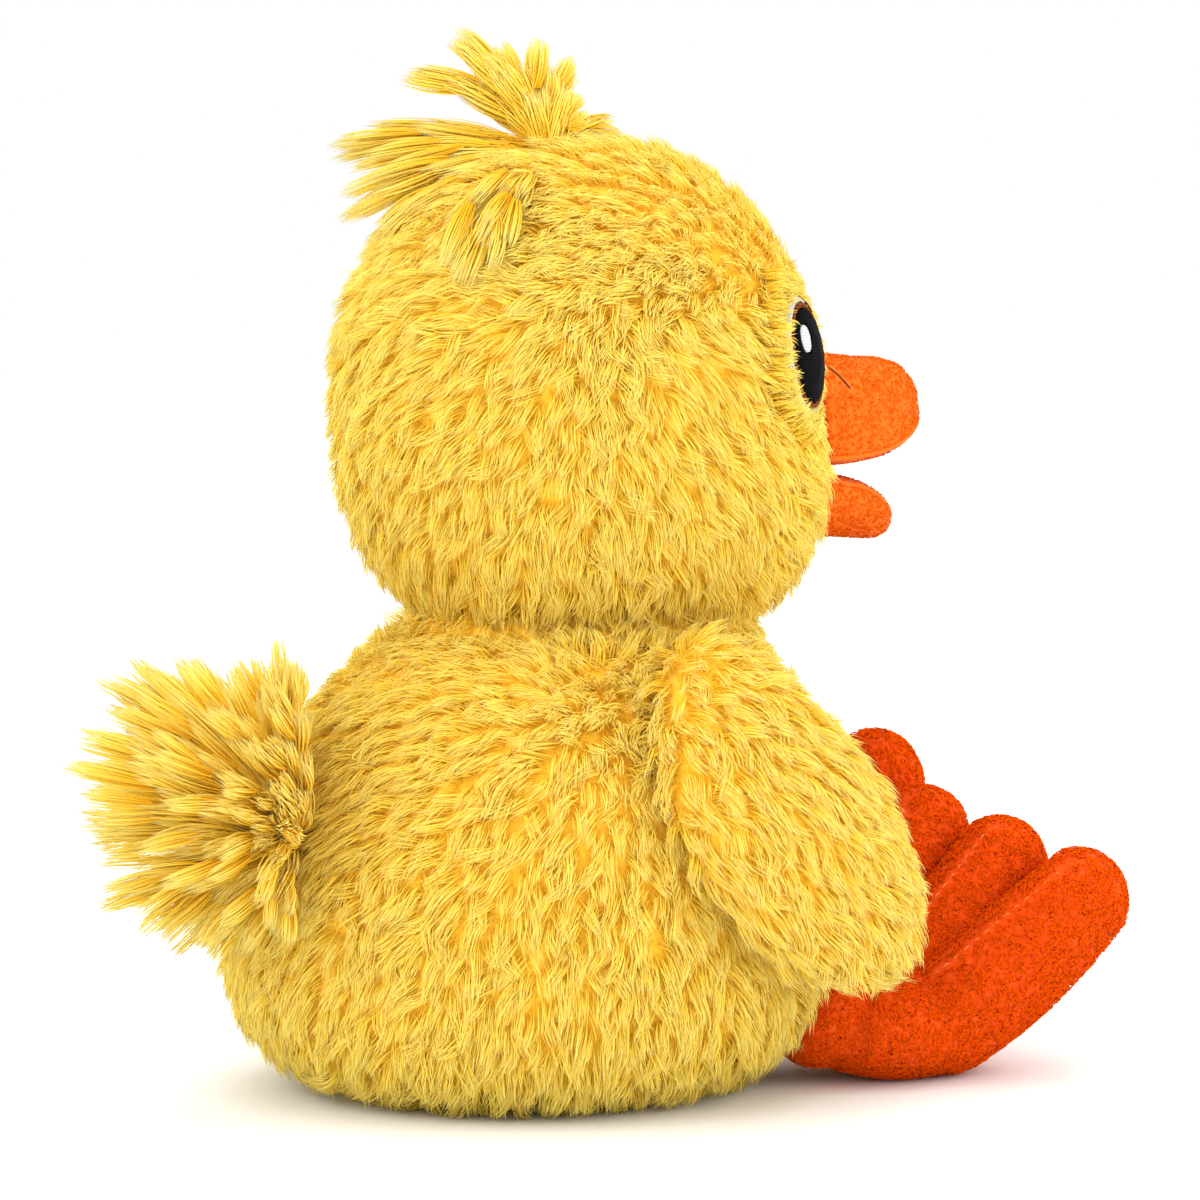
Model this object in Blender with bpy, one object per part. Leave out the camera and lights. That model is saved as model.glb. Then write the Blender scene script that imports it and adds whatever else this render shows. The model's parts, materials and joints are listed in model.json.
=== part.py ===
"""A sitting plush duckling of long-pile fabric, with sewn-on wings, feet and bill.

Frame: metres, +Z up, origin at the middle of the flat seat. The duck faces -Y and its left side is +X.
The panels are sewn skins over stuffing. A ball of stuffing in the neck carries the head, the wings hang
from the top of their seams, and the feet and the lower bill flex where they are sewn on.
"""

import math

import bmesh
import bpy
from mathutils import Matrix, Vector

MM = 0.001

# Cloth and clearances
SKIN = 3.0 * MM  # a long-pile panel, backing and combed-down pile
PLY = 2.0 * MM  # a short-pile panel
SEAM_GAP = 0.3 * MM  # between two pieces that are sewn or lie together
RUNNING_GAP = 0.6 * MM  # between two pieces that move on each other
OVERRUN = 6.0 * MM  # how far a cutter runs past what it cuts
PROBE = 0.1 * MM  # half the step over which a slope is taken

# Torso: a pear with a flat seat, leaning forward at the neck
TORSO_RADIUS = 78.5 * MM
WAIST_HEIGHT = 38.5 * MM  # height of the widest girth
TORSO_TOP = 116.0 * MM  # the neck opening
CROWN_STAND = 15.5 * MM  # how far the torso's round would go on above its top
POLE_SINK = 6.5 * MM  # how far the torso's round would go on below the seat
TORSO_RISE = TORSO_TOP - WAIST_HEIGHT + CROWN_STAND
TORSO_DROP = WAIST_HEIGHT + POLE_SINK
SHOULDER_POWER = 2.3  # roundness above the waist, where 2 is an ellipse
RUMP_POWER = 2.6  # roundness below the waist
NECK_LEAN = 17.0 * MM  # how far forward of the seat the neck stands
LEAN_POWER = 2.0
TORSO_SEGMENTS = 28
TORSO_RINGS = 14

# Pellet pouch, which weights the seat
POUCH_RADIUS = 31.0 * MM
POUCH_HEIGHT = 22.0 * MM

# Neck: a stuffed ball that the head turns and nods on
NECK_HEIGHT = 104.0 * MM  # height of its centre
NECK_SHARE = 0.573  # of the torso's radius
NECK_RADIUS = NECK_SHARE * TORSO_RADIUS
NECK_PLUG = 14.0 * MM  # how far it reaches below its centre, into the torso

# Head
HEAD_HEIGHT = 178.0 * MM
HEAD_WIDTH = 65.0 * MM  # half of it
HEAD_DEPTH = 64.5 * MM  # half of it
HEAD_RISE = 66.5 * MM
HEAD_DROP = 68.0 * MM
CROWN_POWER = 2.1  # roundness above the middle, where 2 is an ellipse
JOWL_POWER = 2.5  # roundness below the middle
CHEEK_PUSH = 6.0 * MM  # how far the cheeks stand forward
CROWN_SEAM = 27.0 * MM  # height of the crown panel's seam above the head's centre
HEAD_TURN = math.radians(-7)  # the head looks a little to the duck's right
HEAD_SEGMENTS = 28
HEAD_RINGS = 14

# Eyes: padded ovals of felt, parted into rings
EYE_BEARING = math.radians(57)  # from straight ahead
EYE_LIFT = 10.5 * MM  # above the head's centre
EYE_HALF_WIDTH = 10.8 * MM
EYE_HALF_HEIGHT = 15.6 * MM
EYE_PAD = 1.2 * MM  # half of the oval's thickness
IRIS_SHARE = 0.88  # of the eye's size
PUPIL_SHARE = 0.78
GLINT_SHARE = 0.24
IRIS_SHIFT_SHARE = 0.08  # of the half width, towards the bill
GLINT_RISE_SHARE = 0.26  # of the half height
EYE_SIDES = 20
EYE_RINGS = 6
EYE_POWER = 3.0  # how flat the pad is, where 2 is an ellipse

# Bill: an upper and a lower half that part from the corners of the mouth
MOUTH_DROP = 20.0 * MM  # the mouth's corner, below the head's centre
BILL_ROOT = 56.0 * MM  # the bill's widest section, ahead of the head's centre
UPPER_LENGTH = 45.0 * MM
UPPER_HALF_WIDTH = 25.0 * MM
UPPER_HEIGHT = 30.0 * MM
UPPER_CURL = 11.0 * MM  # how far the tip's edge lifts
BRIDGE_DIP = 3.0 * MM  # how far the bridge sinks between the brow and the tip
BRIDGE_DIP_SHARE = 0.48  # where it sinks, of the length
LOWER_LENGTH = 37.0 * MM
LOWER_HALF_WIDTH = 20.0 * MM
LOWER_HEIGHT = 15.0 * MM
LOWER_CURL = 11.0 * MM  # how far the tip's edge drops
LINING_BULGE = 2.2 * MM  # how far a bill lining swells from its edge
MOUTH_PART = 1.6 * MM  # between the two linings at the mouth's corner
BILL_POWER = 2.4
MOUTH_HINGE = 63.0 * MM  # the mouth's corner, ahead of the head's centre
BILL_SEGMENTS = 20
BILL_RINGS = 12

# Wings: padded ovals wrapped round the torso's sides
WING_LENGTH = 100.0 * MM
WING_HALF_WIDTH = 28.0 * MM
WING_BULGE = 18.0 * MM  # how far the outer side swells from the edge seam
WING_RIM = 3.6 * MM  # the edge seam's height off the torso
WING_CLEARANCE = 0.4 * MM  # between the lining and the torso
WING_HOLD_SHARE = 0.3  # how much of the wing's length lies against the torso
WING_STAND = 17.0 * MM  # how much further its tip stands off
WING_EGG_SHARE = 0.16  # how much wider the wing is towards its tip
WING_TOP = 112.0 * MM  # height of the seam that carries it
WING_BEARING = math.radians(-12)  # of the seam's middle, forward of the side
WING_TILT = math.radians(42)  # of the wing's length, forward of plumb
WING_SEGMENTS = 20
WING_RINGS = 10
WING_SEAM_SHARE = 0.012  # half the slit between wing panel and lining, of their depth

# Feet: a palm and three toes that turn up, each foot sewn on at a stuffed ankle
RIGHT_ANKLE_SPREAD = 46.0 * MM  # from the middle plane
LEFT_ANKLE_SPREAD = 41.0 * MM
RIGHT_ANKLE_HEIGHT = 18.6 * MM
LEFT_ANKLE_HEIGHT = 25.0 * MM
RIGHT_ANKLE_STAND = 1.0 * MM  # how far its centre stands off the torso
LEFT_ANKLE_STAND = 12.0 * MM
ANKLE_RADIUS = 13.0 * MM
PALM_REACH = 24.0 * MM  # from the ankle forward to the palm's middle
PALM_HALF_WIDTH = 27.0 * MM
PALM_HALF_LENGTH = 31.0 * MM
PALM_HALF_HEIGHT = 15.2 * MM
PALM_SINK = 2.6 * MM  # how far its middle is below the ankle
TOE_PARTING = 0.1  # height in a unit ball above which it becomes the toe's tip
TOE_RADIUS = 12.4 * MM
TOE_ROOT_RADIUS = 13.6 * MM
TOE_ROOT_REACH = 30.0 * MM
TOE_ROOT_SINK = 0.5 * MM  # how far its root is below the ankle
TOE_ROOT_SPREAD = 14.0 * MM
TOE_TIP_REACH = 61.0 * MM
TOE_TIP_RISE = 35.0 * MM  # how far its tip is above the ankle
TOE_TIP_SPREAD = 28.5 * MM
SOLE_THICKNESS = 3.2 * MM
SOLE_SLOPE = math.radians(45)  # of the sole under the toes
SOLE_BEND_REACH = 22.0 * MM  # from the ankle forward to where the sole turns up
SOLE_BEND_RADIUS = 24.0 * MM
SOLE_BEND_STEPS = 5
PALM_CLEARANCE = 5.0 * MM  # room behind the palm for the foot to bend
RIGHT_TOE_IN = math.radians(8)
LEFT_TOE_IN = math.radians(17)
FOOT_ROLL = math.radians(12)  # how far the outer toes are lower
LEFT_FOOT_LIFT = math.radians(6)  # this foot is bent up a little
BALL_SEGMENTS = 16
BALL_RINGS = 8

# Crest and tail: locks of long pile gathered in a root
CREST_ROOT_RADIUS = 9.5 * MM
CREST_BACK = 11.0 * MM  # behind the head's middle
CREST_LOCK_RADIUS = 7.4 * MM
CREST_ARCH = 7.0 * MM  # how far a lock bows up between its ends
CREST_REACH = 53.0 * MM
# Tips as shares of the reach: to the duck's left, back, up
CREST_TIP_SHARES = (
    (0.09, 0.92, -0.05),
    (-0.24, 0.66, 0.20),
    (0.22, 0.34, 0.55),
    (-0.18, 0.28, 0.45),
    (0.00, -0.08, 0.54),
    (-0.56, 0.50, -0.46),
    (-0.14, 0.80, -0.36),
    (0.52, 0.44, -0.34),
)
TAIL_HEIGHT = 74.0 * MM
TAIL_ROOT_RADIUS = 15.0 * MM
TAIL_PITCH = math.radians(27)  # the tuft's axis above level
TAIL_LOCK_RADIUS = 9.0 * MM
TAIL_REACH = 58.0 * MM
TAIL_DROOP = 5.0 * MM  # how far a lock's tip hangs below a straight line
TAIL_RING_LOCKS = (1, 6, 9)
TAIL_RING_DEGREES = (0, 34, 64)  # off the tuft's axis
TAIL_RING_SHARES = (1.0, 0.97, 0.82)  # of the reach
LOCK_SEGMENTS = 8
LOCK_RINGS = 8

COLOURS = {
    "fur_yellow": (0.92, 0.62, 0.11),
    "fur_pale": (0.93, 0.67, 0.16),
    "velour_orange": (0.94, 0.20, 0.012),
    "fleece_orange": (0.90, 0.115, 0.006),
    "eye_white": (0.80, 0.80, 0.80),
    "eye_brown": (0.10, 0.022, 0.006),
    "eye_black": (0.006, 0.006, 0.007),
    "fibrefill": (0.86, 0.86, 0.84),
    "pouch_cloth": (0.62, 0.60, 0.55),
}
PLAIN_ROUGHNESS = 0.9
FELT_ROUGHNESS = 0.45

SIDES = ((1, "left"), (-1, "right"))


def collection(name, within):
    made = bpy.data.collections.new(name)
    within.children.link(made)
    return made


def cloth(name):
    """The Principled material of that name, made once."""
    found = bpy.data.materials.get(name)
    if found:
        return found
    made = bpy.data.materials.new(name)
    made.use_nodes = True
    shader = made.node_tree.nodes["Principled BSDF"]
    shader.inputs["Base Color"].default_value = (*COLOURS[name], 1.0)
    shader.inputs["Roughness"].default_value = FELT_ROUGHNESS if "eye" in name else PLAIN_ROUGHNESS
    shader.inputs["Metallic"].default_value = 0.0
    return made


def piece(name, made, group, stuff=None, parent=None, origin=None):
    """An object from a bmesh, about its origin. Without stuff it is a cutter or a blank."""
    origin = origin or Vector()
    bmesh.ops.translate(made, verts=made.verts, vec=-origin)
    bmesh.ops.recalc_face_normals(made, faces=made.faces)
    mesh = bpy.data.meshes.new(name)
    made.to_mesh(mesh)
    made.free()
    mesh.shade_smooth()
    thing = bpy.data.objects.new(name, mesh)
    thing.location = origin
    thing.parent = parent
    group.objects.link(thing)
    if stuff:
        mesh.materials.append(cloth(stuff))
    else:
        thing.hide_render = True
        thing.display_type = "WIRE"
    return thing


def pivot(name, place, turn, group):
    """An empty that carries the pieces of a moving body. Turn is an XYZ rotation."""
    made = bpy.data.objects.new(name, None)
    made.location = place
    made.rotation_euler = turn
    group.objects.link(made)
    return made


def combine(target, operation, operand):
    """A Boolean with one object, or with all in a collection."""
    step = target.modifiers.new(operation.lower(), "BOOLEAN")
    step.operation = operation
    step.solver = "EXACT"
    if isinstance(operand, bpy.types.Collection):
        step.operand_type = "COLLECTION"
        step.collection = operand
    else:
        step.object = operand


def trim(made, point, away, fill=False):
    """Removes what lies past the plane, on the side that away points to."""
    cut = bmesh.ops.bisect_plane(
        made,
        geom=made.verts[:] + made.edges[:] + made.faces[:],
        plane_co=point,
        plane_no=away,
        clear_outer=True,
    )
    if fill:
        edges = [part for part in cut["geom_cut"] if isinstance(part, bmesh.types.BMEdge)]
        bmesh.ops.contextual_create(made, geom=edges)
    return made


def ball(segments, rings, place):
    """A UV sphere whose unit points are moved by the place function."""
    made = bmesh.new()
    bmesh.ops.create_uvsphere(made, u_segments=segments, v_segments=rings, radius=1.0)
    for vertex in made.verts:
        vertex.co = place(vertex.co.copy())
    return made


def skin(segments, rings, place, thickness, cuts):
    """A panel: an open stretch of a ball, doubled inwards. The cuts are planes through the unit ball."""
    made = bmesh.new()
    bmesh.ops.create_uvsphere(made, u_segments=segments, v_segments=rings, radius=1.0)
    for point, away in cuts:
        trim(made, point, away)
    outer, inner = place(0.0), place(thickness)
    doubled = bmesh.ops.extrude_face_region(made, geom=made.faces[:], use_keep_orig=True)
    inside = {part for part in doubled["geom"] if isinstance(part, bmesh.types.BMVert)}
    for vertex in made.verts:
        vertex.co = (inner if vertex in inside else outer)(vertex.co.copy())
    return made


def rounded(value, power):
    """A unit circle's coordinate, moved to a superellipse of that power."""
    return math.copysign(abs(value) ** (2.0 / power), value)


def unrounded(value, power):
    return math.copysign(abs(value) ** (power / 2.0), value)


def flared(u, power):
    """The unit ball's level coordinates, spread to a superellipse of that power."""
    level = math.hypot(u.x, u.y)
    spread = rounded(level, power) / level if level else 1.0
    return u.x * spread, u.y * spread


def torso_lean(height):
    share = max(0.0, (height - WAIST_HEIGHT) / (TORSO_TOP - WAIST_HEIGHT))
    return NECK_LEAN * share**LEAN_POWER


def torso_place(inset):
    """Moves unit points to the torso's surface, drawn in by the inset."""

    def place(u):
        reach, power = torso_half(u.z > 0)
        across, along = flared(u, power)
        height = WAIST_HEIGHT + rounded(u.z, power) * (reach - inset)
        girth = TORSO_RADIUS - inset
        return Vector((across * girth, along * girth - torso_lean(height), height))

    return place


def torso_half(above):
    """The reach from the waist and the roundness of the torso's half above or below it."""
    return (TORSO_RISE, SHOULDER_POWER) if above else (TORSO_DROP, RUMP_POWER)


def torso_unit(height):
    """The unit ball's height that comes to this one."""
    reach, power = torso_half(height > WAIST_HEIGHT)
    return unrounded((height - WAIST_HEIGHT) / reach, power)


def torso_girth(height):
    """The torso's radius at a height."""
    reach, power = torso_half(height > WAIST_HEIGHT)
    share = abs(height - WAIST_HEIGHT) / reach
    return TORSO_RADIUS * (1.0 - share**power) ** (1.0 / power)


def torso_ball(inset):
    return ball(TORSO_SEGMENTS, TORSO_RINGS, torso_place(inset))


def torso_point(bearing, height, off):
    """The point that far off the torso's surface, at a bearing from +X towards the front."""
    girth = torso_girth(height)
    slope = (torso_girth(height + PROBE) - torso_girth(height - PROBE)) / (2 * PROBE)
    out = 1.0 / math.hypot(1.0, slope)
    reach = girth + off * out
    return Vector(
        (
            reach * math.cos(bearing),
            -reach * math.sin(bearing) - torso_lean(height),
            height - off * slope * out,
        )
    )


def mirrored(point, side):
    return Vector((side * point.x, point.y, point.z))


def neck_ball(grow):
    centre = Vector((0, -NECK_LEAN, NECK_HEIGHT))
    return ball(TORSO_SEGMENTS, TORSO_RINGS, lambda u: u * (NECK_RADIUS + grow) + centre)


def build_torso(parts, cutters):
    """Two fur panels and a seat panel round the stuffing, with the pellet pouch in the seat."""
    neck_cut = ((0, 0, torso_unit(TORSO_TOP)), (0, 0, 1))
    seat_cut = ((0, 0, torso_unit(SKIN)), (0, 0, -1))
    for side, label in SIDES:
        side_cut = ((side * SEAM_GAP / 2 / TORSO_RADIUS, 0, 0), (-side, 0, 0))
        cuts = (neck_cut, seat_cut, side_cut)
        panel = skin(TORSO_SEGMENTS, TORSO_RINGS, torso_place, SKIN, cuts)
        piece(f"body_panel_{label}", panel, parts, "fur_yellow")

    seat = torso_ball(0.0)
    trim(seat, (0, 0, SKIN - SEAM_GAP), (0, 0, 1), fill=True)
    trim(seat, (0, 0, 0), (0, 0, -1), fill=True)
    piece("base_panel", seat, parts, "fur_yellow")

    filling = torso_ball(SKIN + SEAM_GAP)
    trim(filling, (0, 0, TORSO_TOP - SEAM_GAP), (0, 0, 1), fill=True)
    trim(filling, (0, 0, SKIN + SEAM_GAP), (0, 0, -1), fill=True)
    stuffing = piece("body_stuffing", filling, parts, "fibrefill")
    hollow = piece("pouch_hollow", pouch_ball(RUNNING_GAP, OVERRUN), cutters)
    combine(stuffing, "DIFFERENCE", hollow)

    seat_well = neck_ball(RUNNING_GAP)
    trim(seat_well, (0, 0, NECK_HEIGHT - NECK_PLUG - RUNNING_GAP), (0, 0, -1), fill=True)
    combine(stuffing, "DIFFERENCE", piece("neck_well", seat_well, cutters))

    pouch = trim(pouch_ball(0.0, 0.0), (0, 0, SKIN + SEAM_GAP), (0, 0, -1), fill=True)
    piece("pellet_pouch", pouch, parts, "pouch_cloth")


def pouch_ball(grow, sink):
    """The pouch's outline, whose lower half can be sunk through the seat as a cutter."""
    middle = SKIN + POUCH_HEIGHT / 2

    def place(u):
        rise = u.z * (POUCH_HEIGHT / 2 + grow) - (sink if u.z < 0 else 0.0)
        return Vector((u.x * (POUCH_RADIUS + grow), u.y * (POUCH_RADIUS + grow), middle + rise))

    return ball(BALL_SEGMENTS, BALL_RINGS, place)


def build_neck(parts):
    plug = trim(neck_ball(0.0), (0, 0, NECK_HEIGHT - NECK_PLUG), (0, 0, -1), fill=True)
    piece("neck", plug, parts, "fur_yellow", origin=Vector((0, -NECK_LEAN, NECK_HEIGHT)))


HEAD_CENTRE = Vector((0, 0, HEAD_HEIGHT - NECK_HEIGHT))  # from the neck's centre


def head_place(inset):
    """Moves unit points to the head's surface, seen from the neck's centre."""

    def place(u):
        across, along = flared(u, CROWN_POWER if u.z > 0 else JOWL_POWER)
        power, reach = (CROWN_POWER, HEAD_RISE) if u.z > 0 else (JOWL_POWER, HEAD_DROP)
        cheek = max(0.0, -u.y) * max(0.0, -u.z) * 2.0
        return HEAD_CENTRE + Vector(
            (
                across * (HEAD_WIDTH - inset),
                along * (HEAD_DEPTH - inset) - CHEEK_PUSH * cheek,
                rounded(u.z, power) * (reach - inset),
            )
        )

    return place


def head_ball(inset):
    return ball(HEAD_SEGMENTS, HEAD_RINGS, head_place(inset))


def head_point(bearing, height):
    """The head's surface at a bearing from straight ahead, at a height from the neck's centre."""
    place = head_place(0.0)
    low, high = -1.0, 1.0
    for _ in range(40):
        middle = (low + high) / 2
        level = math.sqrt(1.0 - middle * middle)
        found = place(Vector((level * math.sin(bearing), -level * math.cos(bearing), middle)))
        low, high = (middle, high) if found.z < height else (low, middle)
    return found


def build_head(parts, cutters, head):
    """A crown panel and two side panels over stuffing, hollowed below to sit on the neck."""
    socket = piece("neck_socket", neck_ball(RUNNING_GAP), cutters)
    seam = SEAM_GAP / 2
    above = ((0, 0, unrounded((CROWN_SEAM + seam) / HEAD_RISE, CROWN_POWER)), (0, 0, -1))
    below = ((0, 0, unrounded((CROWN_SEAM - seam) / HEAD_RISE, CROWN_POWER)), (0, 0, 1))
    crown = skin(HEAD_SEGMENTS, HEAD_RINGS, head_place, SKIN, (above,))
    piece("head_crown_panel", crown, parts, "fur_yellow", head)
    for side, label in SIDES:
        side_cut = ((side * seam / HEAD_WIDTH, 0, 0), (-side, 0, 0))
        panel = skin(HEAD_SEGMENTS, HEAD_RINGS, head_place, SKIN, (below, side_cut))
        side_panel = piece(f"head_panel_{label}", panel, parts, "fur_yellow", head)
        combine(side_panel, "DIFFERENCE", socket)
    stuffing = piece("head_stuffing", head_ball(SKIN + SEAM_GAP), parts, "fibrefill", head)
    combine(stuffing, "DIFFERENCE", socket)


def build_eye(parts, cutters, head, side, label):
    """A padded oval that follows the head, parted into white, iris, pupil and glint."""
    height = HEAD_CENTRE.z + EYE_LIFT
    bearing = side * EYE_BEARING
    point = head_point(bearing, height)
    step = EYE_HALF_WIDTH / HEAD_WIDTH
    towards_bill = head_point(bearing - side * step, height) - head_point(bearing + side * step, height)
    towards_bill.normalize()
    above = head_point(bearing, height + EYE_HALF_HEIGHT)
    up = (above - head_point(bearing, height - EYE_HALF_HEIGHT)).normalized()
    out = (towards_bill.cross(up) * -side).normalized()
    if out.y > 0:
        out.negate()

    def oval(name, share, shift, grow):
        """A cutter of the eye's outline, along its axis."""
        wide = EYE_HALF_WIDTH * share + grow
        tall = EYE_HALF_HEIGHT * share + grow
        made = bmesh.new()
        bmesh.ops.create_cone(
            made, cap_ends=True, segments=EYE_SIDES, radius1=1.0, radius2=1.0, depth=2.0
        )
        for vertex in made.verts:
            x, y, z = vertex.co
            offset = towards_bill * x * wide + up * y * tall + out * z * EYE_HALF_HEIGHT
            vertex.co = point + shift + offset
        return piece(name, made, cutters, parent=head)

    def pad(u):
        """A lens that lies on the head's curved face."""
        flat = point + towards_bill * u.x * EYE_HALF_WIDTH + up * u.y * EYE_HALF_HEIGHT
        seated = head_point(math.atan2(flat.x, -flat.y), flat.z)
        return seated + out * (SEAM_GAP * 2 + EYE_PAD * (1.0 + rounded(u.z, EYE_POWER)))

    def layer(stuff, name):
        made = ball(EYE_SIDES, EYE_RINGS, pad)
        return piece(f"eye_{name}_{label}", made, parts, stuff, head)

    middle = towards_bill * EYE_HALF_WIDTH * IRIS_SHIFT_SHARE
    glint_rise = up * EYE_HALF_HEIGHT * GLINT_RISE_SHARE
    glint_shift = middle + glint_rise - towards_bill * EYE_HALF_WIDTH * GLINT_SHARE
    rings = (
        ("iris", IRIS_SHARE, middle, "eye_brown"),
        ("pupil", PUPIL_SHARE, middle, "eye_black"),
        ("glint", GLINT_SHARE, glint_shift, "eye_white"),
    )
    around = layer("eye_white", "white")
    for name, share, shift, stuff in rings:
        hole = oval(f"{name}_hole_{label}", share, shift, SEAM_GAP / 2)
        combine(around, "DIFFERENCE", hole)
        around = layer(stuff, name)
        combine(around, "INTERSECT", oval(f"{name}_edge_{label}", share, shift, -SEAM_GAP / 2))


def bill_half(length, half_width, above, below, curl, base, dip):
    """Half a bill, flat at its edge seam, which curls away from the mouth's line towards the tip."""

    def place(u):
        across, along = flared(u, BILL_POWER)
        ahead = -along
        rise = rounded(u.z, BILL_POWER) * (above if u.z > 0 else below)
        share = max(0.0, ahead)
        sink = dip * max(0.0, u.z) * math.cos(math.pi / 2 * (share / BRIDGE_DIP_SHARE - 1.0))
        rise -= max(0.0, sink) if share < 2 * BRIDGE_DIP_SHARE else 0.0
        edge = HEAD_CENTRE.z - MOUTH_DROP + base + curl * share**3
        return Vector((across * half_width, -BILL_ROOT - ahead * length, edge + rise))

    return ball(BILL_SEGMENTS, BILL_RINGS, place)


def build_bill(parts, cutters, head, jaw_place):
    """The upper bill with its palate, and the lower bill with the mouth's floor."""
    face = piece("face_cut", head_ball(-SEAM_GAP), cutters, parent=head)
    apart = MOUTH_PART / 2 + LINING_BULGE
    upper = (UPPER_LENGTH, UPPER_HALF_WIDTH)
    lower = (LOWER_LENGTH, LOWER_HALF_WIDTH)
    pieces = (
        ("bill_upper", upper, UPPER_HEIGHT, 0.0, UPPER_CURL, apart + SEAM_GAP, BRIDGE_DIP, None),
        ("bill_palate", upper, 0.0, LINING_BULGE, UPPER_CURL, apart, 0.0, None),
        ("mouth_floor", lower, LINING_BULGE, 0.0, -LOWER_CURL, -apart, 0.0, jaw_place),
        ("bill_lower", lower, 0.0, LOWER_HEIGHT, -LOWER_CURL, -apart - SEAM_GAP, 0.0, jaw_place),
    )
    for name, (length, wide), above, below, curl, base, dip, origin in pieces:
        made = bill_half(length, wide, above, below, curl, base, dip)
        combine(piece(name, made, parts, "velour_orange", head, origin), "DIFFERENCE", face)


def wing_place(side):
    """Gives, for an inset, the map of unit points to a wing wrapped round the torso."""

    def inset_place(inset):
        def place(u):
            half_length = WING_LENGTH / 2 - inset
            wide = u.x * (WING_HALF_WIDTH - inset) * (1.0 + WING_EGG_SHARE * u.y)
            down = WING_LENGTH / 2 + u.y * half_length
            depth = (WING_BULGE if u.z > 0 else WING_RIM - WING_CLEARANCE) - inset * abs(u.z)
            free_share = max(0.0, down / WING_LENGTH - WING_HOLD_SHARE) / (1.0 - WING_HOLD_SHARE)
            off = WING_RIM + WING_STAND * free_share**2 + u.z * depth
            forward = wide * math.cos(WING_TILT) + down * math.sin(WING_TILT)
            drop = down * math.cos(WING_TILT) - wide * math.sin(WING_TILT)
            bearing = WING_BEARING + forward / TORSO_RADIUS
            return mirrored(torso_point(bearing, WING_TOP - drop, off), side)

        return place

    return inset_place


def build_wing(parts, side, label):
    """A long-pile panel outside, a short-pile lining against the body, and stuffing between them."""
    hinge = mirrored(torso_point(WING_BEARING, WING_TOP, 0.0), side)
    place = wing_place(side)
    outside = ((0, 0, WING_SEAM_SHARE), (0, 0, -1))
    inside = ((0, 0, -WING_SEAM_SHARE), (0, 0, 1))
    panel = skin(WING_SEGMENTS, WING_RINGS, place, SKIN, (outside,))
    piece(f"wing_panel_{label}", panel, parts, "fur_pale", origin=hinge)
    lining = skin(WING_SEGMENTS, WING_RINGS, place, PLY, (inside,))
    piece(f"wing_lining_{label}", lining, parts, "fur_pale", origin=hinge)
    filling = ball(WING_SEGMENTS, WING_RINGS, place(SKIN + SEAM_GAP))
    piece(f"wing_stuffing_{label}", filling, parts, "fibrefill", origin=hinge)


def ankle_place(side):
    """An ankle's centre, off the torso's front."""
    if side > 0:
        spread, height, stand = LEFT_ANKLE_SPREAD, LEFT_ANKLE_HEIGHT, LEFT_ANKLE_STAND
    else:
        spread, height, stand = RIGHT_ANKLE_SPREAD, RIGHT_ANKLE_HEIGHT, RIGHT_ANKLE_STAND
    bearing = math.acos(spread / torso_girth(height))
    level = torso_point(bearing, height, 0.0)
    out = Vector((math.cos(bearing), -math.sin(bearing), 0)) * stand
    return mirrored(level + out, side)


def toe_ball(side, rank):
    """A toe, from its root in the palm to its tip. Rank is -1 for the inner toe and 1 for the outer."""
    root = Vector((side * rank * TOE_ROOT_SPREAD, -TOE_ROOT_REACH, -TOE_ROOT_SINK))
    tip = Vector((side * rank * TOE_TIP_SPREAD, -TOE_TIP_REACH, TOE_TIP_RISE))
    turn = (tip - root).to_track_quat("Z", "Y")

    def place(u):
        end, radius = (tip, TOE_RADIUS) if u.z > TOE_PARTING else (root, TOE_ROOT_RADIUS)
        return end + turn @ (u * radius)

    return ball(BALL_SEGMENTS, BALL_RINGS, place)


def palm_ball():
    centre = Vector((0, -PALM_REACH, -PALM_SINK))

    def place(u):
        return centre + Vector(
            (u.x * PALM_HALF_WIDTH, u.y * PALM_HALF_LENGTH, u.z * PALM_HALF_HEIGHT)
        )

    return ball(BALL_SEGMENTS, BALL_RINGS, place)


def sole_line(grow):
    """The foot's hollow, above the line of the sole: level under the palm, then up along the toes."""
    radius = SOLE_BEND_RADIUS + grow
    bend_height = SOLE_THICKNESS + SOLE_BEND_RADIUS - PALM_SINK - PALM_HALF_HEIGHT
    bend = Vector((0, -SOLE_BEND_REACH, bend_height))
    far = TOE_TIP_REACH + TOE_TIP_RISE
    wide = TOE_TIP_SPREAD + PALM_HALF_WIDTH
    outline = [bend + Vector((-wide, far, -radius)), bend + Vector((-wide, far, far))]
    slope = Vector((0, -math.cos(SOLE_SLOPE), math.sin(SOLE_SLOPE)))
    steps = [SOLE_SLOPE * index / SOLE_BEND_STEPS for index in range(SOLE_BEND_STEPS, -1, -1)]
    arc = [bend + Vector((-wide, -math.sin(at) * radius, -math.cos(at) * radius)) for at in steps]
    made = bmesh.new()
    outline += [arc[0] + slope * far] + arc
    face = made.faces.new([made.verts.new(point) for point in outline])
    depth = bmesh.ops.extrude_face_region(made, geom=[face], use_keep_orig=True)
    moved = [part for part in depth["geom"] if isinstance(part, bmesh.types.BMVert)]
    bmesh.ops.translate(made, verts=moved, vec=(2 * wide, 0, 0))
    return made


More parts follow.
